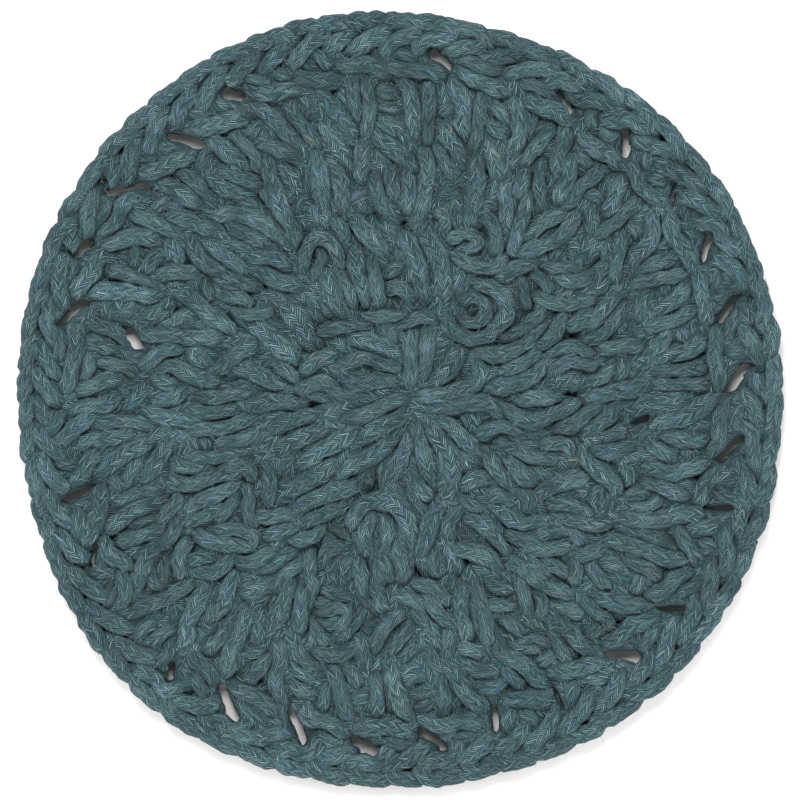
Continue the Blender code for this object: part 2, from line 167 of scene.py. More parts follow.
SHORT_LEGS = (
    (7.9, 352, 8.3, 338, 8.8, 324), (10.8, 326, 12, 338, 13.6, 352), (17, 350, 17.4, 338, 18, 326),
    (19.2, 330, 20.8, 340, 23, 352), (28.8, 350, 29.6, 338, 31.6, 331), (32.4, 333, 33.4, 342, 34.4, 352),
    (39.4, 350, 40, 341, 41.8, 335), (42.8, 336, 44.2, 342, 45.6, 352), (50.6, 349, 51.6, 337, 53.4, 332),
    (54.2, 334, 55.6, 343, 56.8, 353), (62.8, 345, 65.6, 345, 69.2, 340), (72.8, 346, 75.8, 343, 79.8, 349),
    (85.4, 352, 86.6, 346, 87.6, 340), (87.8, 342, 89.4, 346, 91.6, 351), (93.8, 347, 95.6, 350, 98, 353),
    (101.8, 342, 102.4, 350, 102.8, 359), (103.8, 342, 105.6, 350, 107, 359), (109.4, 343, 110.6, 351, 112, 357),
    (112.8, 345, 114.6, 352, 116.2, 358), (121, 340, 121.8, 351, 122.8, 362), (123.8, 344, 124.8, 352, 126, 361),
    (131.8, 342, 133.2, 352, 135, 361), (135.6, 345, 136.6, 353, 137.4, 362), (145.2, 355, 148, 348, 151.2, 353),
    (156.6, 353, 158.8, 352, 161.4, 358), (166.6, 351, 169.6, 349, 173.2, 345),
    (175.2, 348, 177.6, 352, 180.8, 350), (182.4, 340, 184.2, 352, 186, 360), (190, 352, 190.8, 341, 191.8, 332),
    (192.6, 336, 193.6, 346, 194.6, 356), (198.8, 352, 200.6, 346, 203, 351), (209.2, 350, 210.2, 341, 211.6, 336),
    (212.4, 340, 213.6, 350, 214.6, 360), (220.8, 354, 221.4, 341, 222.4, 326),
    (224.2, 352, 224.8, 337, 225.4, 322), (226.6, 328, 227.8, 343, 228.6, 358), (232.6, 344, 235, 349, 237.2, 355),
    (243.8, 343, 245.8, 348, 248.4, 354), (256, 344, 257.8, 349, 260.2, 356), (266.8, 345, 269.2, 349, 272.4, 347),
    (278.6, 352, 280.6, 346, 283.4, 346), (288.2, 352, 288.8, 339, 290.2, 330), (290.8, 335, 291.8, 344, 293, 354),
    (299.6, 352, 300.2, 339, 302, 331), (304.2, 332, 305.8, 342, 307.4, 354), (314.6, 351, 316.4, 345, 319.4, 341),
    (325, 343, 327.2, 348, 330, 353), (335.2, 352, 335, 340, 335.2, 328), (343.4, 352, 343.8, 342, 344.2, 331),
    (345.4, 332, 346.4, 342, 347.2, 353), (355.2, 351, 355.8, 341, 357.2, 335), (358, 336, 359, 345, 360.2, 353),
)

# Outer round: legs that stand straight, legs that lean, the cord wrapped round them and the bands below them
OUTER_UPRIGHT = (
    (2.8, 314, 3, 288, 4.2, 256), (6.3, 312, 5.8, 287, 6.6, 260), (17, 312, 16.4, 287, 17, 262),
    (24.3, 314, 24.6, 288, 26.5, 262), (27.5, 312, 27.8, 294, 28.9, 274), (39.7, 312, 39.6, 290, 40.8, 264),
    (48.8, 312, 49.2, 286, 50.4, 258), (60.6, 316, 61.4, 292, 63, 264), (75, 318, 74.4, 292, 74.6, 266),
    (84.8, 320, 84.4, 292, 84.4, 262), (95.6, 322, 96, 296, 97.6, 266), (98.6, 322, 98.4, 302, 98.6, 282),
    (110.6, 320, 110, 298, 109.6, 268), (121.8, 318, 121.4, 296, 121.4, 268), (134, 320, 133.4, 300, 134, 276),
    (145.4, 328, 144.6, 302, 143.6, 274), (156, 322, 155.4, 304, 155, 270), (166, 318, 166.2, 302, 167.6, 284),
    (173.2, 304, 173, 288, 173.6, 268), (184.2, 308, 184.4, 284, 185.6, 254), (199.6, 304, 200, 282, 200.6, 256),
    (206.6, 320, 207, 298, 208, 268), (217.4, 354, 219.4, 318, 220.6, 276), (232.4, 320, 232.4, 296, 233.2, 268),
    (241.6, 322, 242.2, 304, 243.4, 284), (255.6, 322, 256.2, 304, 256, 286), (265.5, 320, 265.4, 298, 265.2, 272),
    (277.6, 322, 278.4, 300, 279, 276), (292.6, 314, 292, 300, 291.4, 286), (302.5, 314, 302.4, 296, 302.8, 276),
    (312.6, 314, 313.4, 294, 313, 272), (325, 314, 325.5, 296, 326, 274), (331.5, 316, 332, 296, 330.8, 268),
    (341.2, 306, 341, 282, 341.2, 256), (352.2, 314, 352, 292, 352.2, 266),
)
OUTER_LEANING = (
    (8.8, 270, 10, 292, 11.6, 314), (18.4, 268, 19.8, 292, 21.2, 314), (30.2, 268, 33, 294, 36.2, 318),
    (42, 276, 43.8, 296, 45.6, 320), (51.6, 260, 55, 290, 58.8, 322), (64.8, 266, 66.6, 292, 68.8, 320),
    (76.2, 270, 77.8, 294, 80.2, 324), (86.2, 264, 87.6, 292, 89.6, 320), (98.6, 268, 101.4, 288, 105.4, 318),
    (111, 272, 113.4, 296, 116.6, 326), (123.4, 272, 124.8, 298, 126.4, 322), (134.6, 276, 136, 298, 138, 322),
    (145.8, 288, 148.8, 310, 152.2, 334), (156.2, 266, 158.2, 295, 161, 324), (168.6, 282, 169.6, 300, 170, 320),
    (174.6, 276, 176.4, 298, 178.2, 320), (180, 276, 181.4, 298, 183, 322), (186.2, 262, 187.2, 290, 188.6, 320),
    (188.6, 250, 190.6, 274, 193.6, 312), (201.6, 258, 202.4, 286, 204, 320), (209, 256, 211.2, 286, 215.2, 322),
    (222.8, 266, 225.4, 294, 228.6, 328), (234, 264, 235.4, 290, 237.6, 324), (243.4, 274, 246, 298, 248.8, 322),
    (255, 270, 257.6, 295, 261.2, 324), (267, 264, 269.2, 290, 272.2, 320), (279.4, 270, 282, 292, 285.4, 322),
    (291, 264, 294, 286, 297.6, 314), (304.4, 268, 305.8, 290, 307.6, 318), (314, 270, 316.8, 294, 320.2, 322),
    (326.2, 250, 328.4, 284, 331, 326), (332.4, 256, 335.4, 288, 339.4, 324), (343.4, 254, 345.4, 284, 348.6, 314),
    (353.4, 258, 357, 286, 361.2, 316),
)
OUTER_WRAPS = (
    (11.6, 288, 13, 290, 14.8, 284), (11.4, 302, 13, 304, 14.8, 302), (20.8, 284, 22.6, 286, 24.2, 280),
    (33.6, 290, 35.6, 292, 37.6, 286), (44, 282, 45.4, 282, 47, 276), (51, 300, 53, 302, 55, 300),
    (67.4, 300, 70.2, 304, 73, 308), (67.4, 290, 69.8, 284, 72.8, 288), (79.6, 300, 80.8, 294, 82.2, 286),
    (90, 306, 92, 310, 94.2, 308), (89.8, 294, 92, 292, 94.4, 290), (105.4, 302, 106.8, 302, 108.2, 296),
    (115.4, 312, 117.6, 310, 120.4, 304), (127, 314, 129, 312, 131.6, 306), (138.4, 308, 140.2, 310, 142.2, 308),
    (149.6, 304, 151.4, 300, 153.4, 292), (160.8, 308, 162.6, 306, 164.8, 300),
    (171.8, 310, 174.2, 314, 177.2, 316), (194.4, 300, 196.2, 294, 198.4, 290),
    (214.6, 306, 216.2, 304, 218.2, 300), (228.2, 300, 229.6, 298, 231.4, 290), (238.6, 300, 240, 292, 241.4, 284),
    (248.4, 302, 250.6, 304, 253.6, 306), (247, 288, 249.4, 288, 252.8, 292), (260.8, 304, 262.2, 300, 263.8, 294),
    (272.6, 308, 274.2, 306, 276.2, 302), (272.2, 296, 274.2, 294, 276.4, 290), (285, 298, 287.4, 302, 290.4, 302),
    (297.6, 300, 299.4, 298, 301.4, 294), (307.8, 306, 309.4, 304, 311.4, 300), (320.4, 304, 322.2, 302, 324, 296),
    (346.6, 298, 348.6, 294, 350.6, 290),
)
OUTER_BANDS = (
    (0, 262, 1.2, 276, 2.4, 292), (9.8, 254, 12, 266, 14.6, 280), (19.4, 256, 21.8, 266, 24.2, 276),
    (30, 244, 33.4, 256, 37.4, 276), (40.6, 260, 43.6, 267, 46.4, 280), (64.6, 238, 67.6, 250, 71.6, 276),
    (75.8, 250, 79, 262, 82.4, 280), (89.6, 266, 91.8, 274, 94.4, 282), (101.4, 236, 104.2, 262, 106.4, 286),
    (112, 262, 115, 274, 119.6, 292), (123, 258, 125.6, 274, 127.6, 290), (126.6, 262, 129, 278, 131, 294),
    (136.4, 240, 139, 264, 142.2, 292), (144.4, 286, 146, 270, 148.6, 258), (148.8, 280, 151, 283, 153.6, 286),
    (147.4, 240, 150, 252, 152.8, 270), (156.2, 248, 160, 256, 164.2, 272), (158.8, 274, 161.4, 286, 164.2, 298),
    (177.4, 256, 179.6, 266, 182.4, 282), (190, 236, 194, 250, 198.2, 272), (192.6, 266, 195, 274, 197.8, 284),
    (204.6, 240, 206, 258, 208, 276), (204.8, 298, 206, 284, 207.6, 270), (213.8, 278, 215.4, 286, 217.4, 294),
    (213.4, 248, 215.6, 266, 219.2, 282), (215, 276, 219, 262, 222.4, 246), (225, 240, 228.6, 256, 231, 288),
    (236.4, 262, 238, 275, 240.6, 285), (246, 268, 248.8, 274, 252.6, 278), (251.6, 268, 250.6, 254, 249.4, 240),
    (252, 272, 256, 264, 258.8, 250), (260, 242, 261.6, 256, 263.2, 270), (259.2, 270, 260.6, 280, 262.2, 288),
    (268.6, 262, 270.6, 250, 273.6, 246), (273.2, 246, 276.6, 252, 278.2, 266),
    (270.6, 284, 272.8, 272, 275.2, 286), (284.2, 250, 286.2, 258, 288, 268), (284.4, 270, 286.8, 280, 289.8, 286),
    (294.8, 268, 298, 276, 301.2, 282), (296, 250, 298.4, 260, 300, 270), (307.6, 260, 309.8, 280, 312.2, 274),
    (313, 264, 315.4, 262, 317.2, 268), (317.2, 280, 317.8, 262, 320.4, 248), (320.4, 256, 322.8, 268, 325.4, 278),
    (318.6, 238, 322, 246, 325.2, 250), (329.6, 254, 330.4, 268, 331.4, 282), (334.2, 248, 335.6, 268, 339.2, 273),
    (338.8, 270, 338.6, 256, 336.4, 246), (347.2, 282, 348.4, 272, 349.6, 258),
)

# Middle round
MIDDLE_LEGS = (
    (0.6, 192, 1.8, 215, 3, 242), (3.4, 190, 6, 206, 9.4, 228), (13, 246, 13.6, 224, 16.2, 200),
    (17.4, 194, 19.8, 215, 22.4, 238), (20.6, 194, 23.4, 215, 26.4, 240), (25, 216, 25.4, 202, 24.4, 186),
    (46.2, 252, 47.2, 224, 51.4, 188), (52.2, 188, 55.2, 210, 59.6, 240), (55.8, 190, 59.4, 212, 63.2, 240),
    (61.8, 262, 61, 250, 60, 236), (67.2, 188, 69.6, 215, 72.8, 252), (84.4, 252, 83.4, 222, 85.6, 178),
    (88.4, 226, 87.8, 208, 87.6, 190), (97.6, 262, 98.8, 240, 98.2, 220), (98.4, 226, 95.4, 204, 90.6, 182),
    (91.6, 230, 92.6, 218, 92, 200), (105, 238, 104.6, 216, 106.8, 198), (109.4, 264, 110, 236, 112.2, 204),
    (115.2, 240, 116.4, 252, 118.4, 266), (119, 272, 121.2, 236, 124.4, 190), (125.2, 190, 128.6, 222, 134.2, 264),
    (129.6, 198, 132, 222, 134.8, 244), (140.6, 248, 140.2, 220, 141.4, 194), (142.6, 268, 145.4, 240, 145.2, 214),
    (145.4, 220, 144.4, 202, 141.8, 186), (152, 264, 154, 230, 158, 186), (158.6, 186, 163.8, 212, 165.6, 270),
    (165.4, 202, 168, 216, 170.4, 198), (170.6, 240, 173.2, 216, 173.6, 192), (175, 246, 176.2, 234, 176.8, 220),
    (181, 244, 179, 232, 177.2, 220), (182.4, 254, 184.8, 230, 187.2, 192), (194.4, 234, 197, 216, 199.2, 194),
    (200, 246, 201.8, 215, 204.4, 172), (205.6, 178, 207, 208, 208.6, 240), (209.6, 248, 210.8, 226, 212, 204),
    (213, 242, 217.6, 224, 226, 204), (219, 264, 222.6, 252, 223.4, 234), (225, 230, 229, 216, 232.4, 196),
    (230, 250, 233, 236, 236.2, 218), (236, 204, 239, 222, 241.4, 244), (242.2, 206, 244.6, 226, 246.4, 248),
    (263.4, 252, 266, 232, 270.4, 212), (266.8, 258, 269.8, 240, 273.4, 216), (272.2, 190, 275.4, 212, 280.4, 238),
    (276.8, 196, 279.6, 214, 283.8, 234), (280.2, 260, 282.6, 244, 283.8, 228),
    (285.2, 250, 286.2, 224, 288.4, 196), (289.6, 258, 290.4, 230, 291.4, 200), (301, 254, 303.4, 228, 305.6, 200),
    (305.8, 196, 308.6, 222, 311.4, 258), (310.2, 204, 312.4, 226, 315, 248), (309.6, 192, 313.2, 208, 317.6, 222),
    (310.4, 182, 315, 194, 321, 206), (321, 238, 323, 222, 325, 206), (324.2, 198, 326.4, 220, 329.4, 242),
    (337, 236, 339.6, 216, 343.6, 192), (344.2, 194, 347.2, 214, 351.6, 238), (348.6, 206, 351, 220, 354, 236),
    (350, 188, 354, 203, 358.4, 216),
)
MIDDLE_THICK = (
    (31.4, 242, 29.4, 216, 34.8, 176), (46.4, 250, 47, 222, 51, 190),
)
MIDDLE_WRAPS = (
    (6.8, 214, 8.8, 225, 11, 222), (32.4, 226, 36.6, 212, 41.8, 196), (37, 184, 40.2, 200, 44.2, 216),
    (62.4, 212, 64.4, 218, 66.6, 214), (74.4, 216, 77, 214, 79.8, 206), (98.2, 214, 101, 210, 104.2, 202),
    (113.2, 216, 116.4, 222, 119.4, 214), (134.6, 214, 136.4, 222, 138, 234), (146.8, 224, 149.4, 224, 152.4, 216),
    (157, 226, 159, 236, 161.4, 238), (189.4, 208, 192, 210, 195.4, 202), (213.4, 212, 217, 206, 221.4, 200),
    (247.4, 218, 250, 217, 252.8, 209), (250.6, 238, 253.4, 234, 256.4, 220), (257, 242, 258.8, 226, 260, 208),
    (293, 234, 296.6, 228, 300.4, 222), (293.4, 200, 297.4, 212, 301.2, 222), (313.6, 250, 315, 244, 316.8, 236),
    (331, 224, 334, 216, 337.4, 222), (330.6, 236, 333.8, 240, 337, 234), (338.8, 244, 341, 244, 343.4, 236),
    (353.4, 224, 356, 226, 358.6, 220),
)
MIDDLE_BANDS = (
    (30, 246, 33.6, 254, 37.4, 264), (76, 228, 78.4, 240, 82.2, 256), (86.4, 228, 90.6, 246, 95.8, 264),
    (166.2, 228, 169.8, 242, 173.8, 260),
)

# Knots and curls with no rule, and the loops out of the middle. Each row is how wide the cord lies there, then its
# places, all in pixels, to the right and down in the picture. About a quarter of the knots lie further out than the
# inner round, and some are read only roughly, where cords are hard to tell apart
INNER_KNOTS = (
    (24, (253, 324), (274, 343), (297, 362)), (26, (272, 292), (297, 318), (318, 346)),
    (20, (221, 292), (242, 290), (252, 302), (240, 313)), (16, (243, 311), (257, 317), (272, 308)),
    (20, (248, 258), (272, 254), (290, 268)), (20, (260, 270), (279, 284), (297, 288)),
    (18, (301, 270), (305, 246), (320, 236), (337, 246), (340, 268)), (16, (320, 252), (325, 262), (322, 276)),
    (16, (331, 221), (347, 231), (343, 244)), (22, (320, 268), (330, 286), (348, 312)),
    (18, (338, 274), (350, 288), (352, 308)), (22, (352, 246), (357, 270), (363, 300)),
    (20, (373, 258), (375, 282), (379, 305)), (20, (353, 219), (372, 238), (381, 254)),
    (18, (381, 277), (391, 270), (402, 267)), (18, (381, 291), (400, 287), (410, 300)),
    (14, (322, 334), (345, 328), (368, 324)), (14, (366, 321), (386, 317), (408, 321)),
    (15, (402, 322), (420, 316), (438, 320)), (22, (404, 233), (415, 258), (425, 298)),
    (22, (425, 235), (440, 262), (444, 300)), (16, (437, 213), (449, 219), (443, 230)),
    (16, (450, 240), (468, 230), (480, 244), (462, 252)), (18, (481, 219), (497, 222), (500, 242), (494, 254)),
    (18, (457, 256), (476, 267), (492, 269), (505, 257)), (20, (497, 280), (511, 267), (533, 265)),
    (20, (475, 284), (498, 290), (508, 308), (500, 327), (478, 341), (455, 332), (444, 318)),
    (15, (460, 300), (476, 294), (489, 308), (484, 322), (468, 328), (456, 318)),
    (18, (500, 338), (526, 334), (540, 318), (546, 300)), (20, (478, 350), (500, 358), (524, 348), (543, 328)),
    (18, (533, 343), (549, 341), (561, 330), (567, 314)), (20, (540, 298), (567, 305), (592, 296)),
    (20, (554, 270), (575, 284), (592, 280)), (18, (519, 280), (527, 292), (531, 306)),
    (18, (533, 270), (545, 280), (550, 294)), (20, (569, 326), (585, 318), (602, 310)),
    (18, (550, 354), (573, 342), (592, 354)), (18, (550, 372), (573, 359), (595, 361)),
    (20, (490, 390), (526, 381), (542, 367)), (18, (505, 370), (520, 365), (535, 352)),
    (20, (301, 375), (316, 361), (331, 356)), (20, (239, 364), (260, 375), (283, 388)),
    (18, (279, 366), (289, 370), (296, 378)), (20, (219, 370), (238, 356), (256, 343)),
    (20, (299, 388), (321, 381), (340, 391)), (20, (250, 409), (267, 400), (300, 404)),
    (18, (273, 430), (290, 421), (311, 413)), (22, (279, 451), (297, 438), (328, 428)),
    (24, (300, 470), (330, 448), (353, 432)), (24, (275, 496), (308, 479), (336, 470)),
    (22, (299, 511), (325, 497), (354, 483)), (20, (301, 525), (324, 512), (347, 507)),
    (18, (293, 542), (310, 534), (324, 527)), (20, (247, 524), (270, 514), (295, 519)),
    (20, (261, 541), (281, 531), (297, 526)), (20, (210, 534), (239, 527), (257, 541), (245, 552)),
    (18, (243, 486), (250, 510), (254, 528)), (18, (267, 470), (271, 490), (270, 508)),
    (20, (210, 476), (238, 467), (251, 475)), (18, (217, 520), (229, 502), (241, 490)),
    (20, (253, 570), (274, 561), (291, 551)), (20, (279, 590), (286, 570), (310, 559)),
    (18, (314, 566), (324, 548), (348, 544)),
    (22, (350, 534), (358, 512), (374, 500), (396, 504), (408, 526), (412, 550)),
    (18, (364, 552), (367, 528), (372, 514)), (18, (388, 552), (389, 532), (384, 518)),
    (14, (329, 528), (338, 529), (347, 534)), (20, (407, 476), (417, 487), (431, 497)),
    (22, (423, 552), (427, 527), (441, 507)), (18, (450, 538), (447, 520), (462, 510)),
    (20, (461, 491), (475, 477), (491, 479)), (18, (464, 511), (481, 522), (499, 534), (509, 555)),
    (20, (457, 549), (479, 554), (505, 566)), (20, (481, 452), (499, 470), (512, 488)),
    (20, (504, 459), (519, 476), (534, 484)), (18, (501, 444), (526, 454), (552, 459)),
    (18, (541, 451), (559, 441), (576, 454)), (20, (540, 494), (561, 481), (585, 476)),
    (20, (504, 517), (526, 527), (546, 526)), (20, (511, 534), (533, 545), (560, 557)),
    (20, (550, 505), (569, 511), (598, 526)), (18, (481, 434), (501, 424), (517, 432)),
    (18, (503, 411), (526, 423), (548, 419), (576, 404)), (18, (523, 401), (540, 395), (560, 398)),
    (18, (554, 430), (576, 423), (598, 407)), (20, (519, 555), (540, 569), (562, 590)),
    (16, (461, 500), (470, 510), (482, 504)), (18, (490, 498), (500, 492), (510, 500)),
    (18, (520, 492), (531, 500), (528, 512)), (20, (188, 400), (218, 396), (248, 391)),
    (20, (186, 412), (214, 417), (240, 409)), (20, (190, 428), (221, 428), (250, 419)),
    (18, (214, 446), (239, 440), (259, 431)), (20, (189, 458), (219, 459), (245, 453)),
    (18, (198, 434), (202, 444), (204, 455)), (20, (395, 545), (400, 565), (405, 583)),
    (20, (428, 548), (435, 562), (441, 576)), (20, (399, 592), (415, 600), (431, 612)),
    (20, (455, 580), (460, 600), (462, 618)), (20, (470, 590), (476, 610), (481, 630)),
    (18, (484, 606), (499, 609), (513, 604)), (18, (357, 561), (362, 581), (366, 601)),
    (18, (366, 583), (376, 604), (394, 611)), (18, (384, 554), (389, 566), (394, 578)),
    (18, (352, 598), (336, 602), (320, 598)), (16, (322, 612), (336, 606), (350, 614), (338, 626)),
    (20, (312, 556), (308, 580), (310, 602)), (18, (409, 586), (430, 592), (449, 605)),
    (18, (371, 626), (392, 635), (407, 640)), (16, (316, 626), (319, 636), (323, 647)),
    (18, (319, 652), (338, 657), (356, 645)), (16, (548, 160), (535, 178), (542, 210)),
    (20, (566, 150), (564, 178), (560, 205)), (20, (523, 243), (541, 226), (563, 212)),
    (18, (535, 588), (542, 600), (538, 618)), (18, (505, 617), (518, 627), (527, 633)),
    (14, (520, 643), (533, 637), (547, 643)),
)
MIDDLE_LOOPS = (
    (20, (420, 397), (455, 395), (481, 380), (478, 361)), (20, (428, 407), (462, 404), (492, 404), (503, 413)),
    (20, (433, 421), (461, 437), (480, 451)), (24, (422, 418), (446, 448), (451, 480), (445, 495)),
    (18, (418, 425), (424, 455), (429, 478)), (20, (413, 430), (400, 460), (386, 478)),
    (22, (405, 428), (370, 455), (333, 474)), (22, (408, 414), (382, 428), (353, 436)),
    (20, (406, 399), (375, 411), (348, 424)), (20, (403, 374), (370, 383), (338, 388)),
    (18, (402, 366), (380, 360), (362, 356), (348, 366)), (24, (410, 374), (384, 350), (352, 338)),
    (20, (413, 385), (412, 358), (411, 332)), (20, (421, 385), (425, 352), (428, 330)),
    (22, (428, 388), (446, 370), (461, 347)),
)

# Each round's kinds of stitch: their runs, how deep they lie at their start, middle and end, and how wide they show
Kind = namedtuple("Kind", "runs depths wide_px")
LAST_ROUND = (Kind(BARS, (1.2, 0.0, 0.9), WIDE_PX), Kind(SHORT_LEGS, (1.8, 1.0, 1.8), NARROW_PX))
OUTER_ROUND = (
    Kind(OUTER_UPRIGHT, (1.6, 0.3, 1.2), NARROW_PX),
    Kind(OUTER_LEANING, (1.2, 0.0, 1.2), WIDE_PX),
    Kind(OUTER_WRAPS, (2.0, 0.8, 2.0), NARROW_PX),
    Kind(OUTER_BANDS, (1.8, 0.5, 1.8), LEG_PX),
)
MIDDLE_ROUND = (
    Kind(MIDDLE_LEGS, (1.4, 0.0, 1.2), LEG_PX),
    Kind(MIDDLE_THICK, (1.2, 0.0, 1.2), THICK_PX),
    Kind(MIDDLE_WRAPS, (2.0, 0.8, 2.0), NARROW_PX),
    Kind(MIDDLE_BANDS, (1.8, 0.5, 1.8), LEG_PX),
)
KNOT_END_DEPTH = 1.5
LOOP_END_DEPTH = 1.6

# The two cords of each link of the chain, one out at the edge and one slanting in over the stitches. Their bends are
# given as a share of the link's turn, how far in from the edge, and how deep
Bend = namedtuple("Bend", "share inward depth")
EDGE_CORD = (
    Bend(-0.08, 4.6, 1.6), Bend(0.18, 3.3, 0.9), Bend(0.55, 2.9, 0.9), Bend(0.88, 3.3, 1.4), Bend(1.14, 4.4, 2.6),
)
SLANT_CORD = (Bend(-0.06, 5.2, 1.4), Bend(0.22, 6.2, 0.2), Bend(0.62, 8.0, 0.0), Bend(1.08, 10.3, 1.0))

# Rounds of even stitches: on the underside, and inside the mat, where they show between the cords of the face
Round = namedtuple("Round", "count foot top")
UNDERSIDE_ROUNDS = (Round(34, 68.0, 81.0), Round(22, 47.0, 64.0), Round(15, 25.0, 43.0), Round(8, 2.0, 22.0))
UNDERSIDE_TURN = 4.0
INSIDE_ROUNDS = (
    Round(66, 85.0, 95.0), Round(46, 68.0, 82.0), Round(32, 50.0, 66.0), Round(21, 30.0, 47.0), Round(10, 6.0, 27.0),
)
INSIDE_DEPTH = 3.0

# The four cords of an even stitch: two legs, the wrap beside them and the band below, each at three places that are
# given as shares of the stitch's turn and of its height
EVEN_STITCH = (
    ((-0.20, 1.00), (-0.19, 0.50), (-0.02, 0.00)),
    ((0.06, 0.00), (0.24, 0.50), (0.46, 1.00)),
    ((0.34, 0.72), (0.52, 0.70), (0.72, 0.60)),
    ((0.22, -0.08), (0.46, 0.12), (0.74, 0.40)),
)

# Room that cords leave at a slit, as a share of their radius, and the step along a path that shows it is across one
SLIT_ROOM = 0.86
SLIT_JUMP = 3.2

# Points of a path: how many parts its curve has between two places, the fewest points that it gets, and how many are
# too few to keep where a slit cuts it
CURVE_PARTS = 8
FEWEST_POINTS = 4
TOO_FEW_POINTS = 3

# Settling: how near cords press together and how narrow each may be squeezed, as shares of their width, how far off a
# neighbour may be, how often it is done, how strongly a cord is pulled home, and the room for lumps at the faces, as a
# share of their height
TOUCH = 0.88
SEAM = 0.97
NARROWEST = 0.80
REACH = 7.0
SETTLE_ROUNDS = 24
PULL_HOME = 0.10
CHAIN_PULL_HOME = 0.28
LUMP_ROOM = 0.4

# Handwork: how far each cord strays
STRAY_SIDEWAYS = 0.28
STRAY_UP = 0.45
STRAY_WIDTH = 0.05
LUMP_HEIGHT = 0.38
LUMP_LENGTH = 2.8
SEED = 7

# How each lot of rounds is made: which way it faces, the facets of its cords, the columns of their plait, and whether
# its cords are settled together
Lot = namedtuple("Lot", "side ring_step sides columns settle")
FACE_LOT = Lot(1.0, 0.75, 18, 10, True)
INSIDE_LOT = Lot(1.0, 1.6, 8, 14, False)
UNDER_LOT = Lot(-1.0, 1.2, 12, 10, True)

# Plait on the cord's surface: a stroke's pitch along the cord, how many pitches it slants over one column, how much it
# wavers, and how deep it is
STROKE_LENGTH = 0.95
STROKE_SLANT = 2.3
STROKE_WAVER = 0.8
PLAIT_DEPTH = 0.34

# Tones of the plait, as shares of the way from the darkest shade to the lightest: the tone in the grooves, how much
# painted shade darkens the grooves below the strokes' raised middles, the strokes' lighter fibre, kept to their
# middles as a partly painted highlight, and the fibre streaks; then how rare a stroke of other dyed fibre is, and how
# much of its own colour shows
GROOVE_TONE = 0.14
RELIEF_SHADE_TONE = 0.22
STROKE_AND_HIGHLIGHT_TONE = 0.38
FIBRE_TONE = 0.22
RARE_FROM = 0.996
RARE_SHARE = 0.45

# How sharp a stroke's light middle is, partly its fibre's own lightness and partly a painted highlight, how fine its
# fibres are across it, along it and from cord to cord, and the darkest and lightest of the soft clouds and of the
# cords
RIDGE_SHARPNESS = 2.6
FIBRE_FINENESS = (1.9, 0.22, 40.0)
CLOUD_TONES = (0.80, 1.20)
CORD_TONES = (0.93, 1.13)

# Loose fibres, only where the cord faces up. Real ones are about 0.02 mm thick, too fine to show here, so they are
# drawn thicker
FIBRE_LENGTH = 1.3
FIBRE_RADIUS = 0.035
FIBRES_PER_MM2 = 0.12
FIBRE_BEND = (0.45, 0.0, 0.62)
FIBRE_TIP = (1.0, 0.1, 0.75)
FIBRE_LEAN = 0.7
FIBRE_SIZES = (0.4, 1.3)
UPWARD = 0.5

# Table top and lights, in metres and watts
TABLE_HALF = 3.0
Lamp = namedtuple("Lamp", "name place size power")
LAMPS = (
    Lamp("window_light", (-0.12, 0.60, 1.32), 0.5, 16.0),
    Lamp("front_fill", (0.0, -1.0, 0.75), 0.8, 10.0),
    Lamp("left_fill", (-1.0, 0.1, 0.75), 0.8, 6.0),
    Lamp("right_fill", (1.0, 0.1, 0.75), 0.8, 6.0),
)
ROOM_LIGHT = 0.48
CAMERA_SEES = 20.0

Strand = namedtuple("Strand", "points radius")
Path = namedtuple("Path", "points radii firm")


def around(angle, radius, height):
    """A point at an angle and a distance from the mat's centre."""
    turn = math.radians(angle)
    return (radius * math.cos(turn), radius * math.sin(turn), height)


def rim_at(angle):
    """The mat's outer radius without its scallops, wider and narrower by turns as it lies."""
    swell = sum(w.swell_mm * math.cos(math.radians(w.count * (angle - w.toward_deg))) for w in RIM_WAVES)
    return RIM_RADIUS + swell


def spans(angles):
    """Each angle with the turn to the next one round the mat."""
    following = list(angles[1:]) + [angles[0] + 360.0]
    return [(here, there - here) for here, there in zip(angles, following)]


def link_angles():
    """Where each link of the rim's chain starts."""
    angles = []
    for (start, turn), run in zip(spans([r.from_deg for r in LINK_RUNS]), LINK_RUNS):
        angles += [start + turn * i / run.links for i in range(run.links)]
    return angles


def cord_of(points, wide_px):
    """A strand through points that give their depth below the mat's face, as wide as it shows in the picture."""
    radius = wide_px * PIXEL_MM / 2
    middle = MAT_HEIGHT - radius * CORD_FLATNESS
    return Strand([(x, y, middle - depth) for x, y, depth in points], radius)


def rim_chain():
    """Two cords for each link: one bows out to the edge, one slants in over the stitches."""
    strands = []
    for angle, turn in spans(link_angles()):
        edge = rim_at(angle + turn / 2)
        for bends in (EDGE_CORD, SLANT_CORD):
            places = [around(angle + bend.share * turn, edge - bend.inward, bend.depth) for bend in bends]
            strands.append(cord_of(places, CHAIN_PX))
    return strands


def stitched(kinds):
    """The cords of a round, placed as their runs were read off in angles."""
    off = MIDDLE_OFF_PX * PIXEL_MM
    strands = []
    for kind in kinds:
        for run in kind.runs:
            places = [around(deg, out * PIXEL_MM, depth) for deg, out, depth in zip(run[::2], run[1::2], kind.depths)]
            strands.append(cord_of([(x + off, y - off, z) for x, y, z in places], kind.wide_px))
    return strands


def knotted(knots, end_depth):
    """The cords of knots and loops, placed as they were read off in pixels."""
    centre = PICTURE_PX / 2 - MIDDLE_OFF_PX
    strands = []
    for wide_px, *places in knots:
        depths = [end_depth] + [0.0] * (len(places) - 2) + [end_depth]
        strands.append(cord_of([
            ((right - centre) * PIXEL_MM, (centre - down) * PIXEL_MM, depth)
            for (right, down), depth in zip(places, depths)
        ], wide_px))
    return strands


def plain_rounds(rounds, depth, wide_px):
    """Rounds of even stitches."""
    strands = []
    for count, foot, top in rounds:
        turn = 360.0 / count
        rise = top - foot
        for angle in (turn * number for number in range(count)):
            for places in EVEN_STITCH:
                points = [around(angle + a * turn, foot + b * rise, depth) for a, b in places]
                strands.append(cord_of(points, wide_px))
    return strands


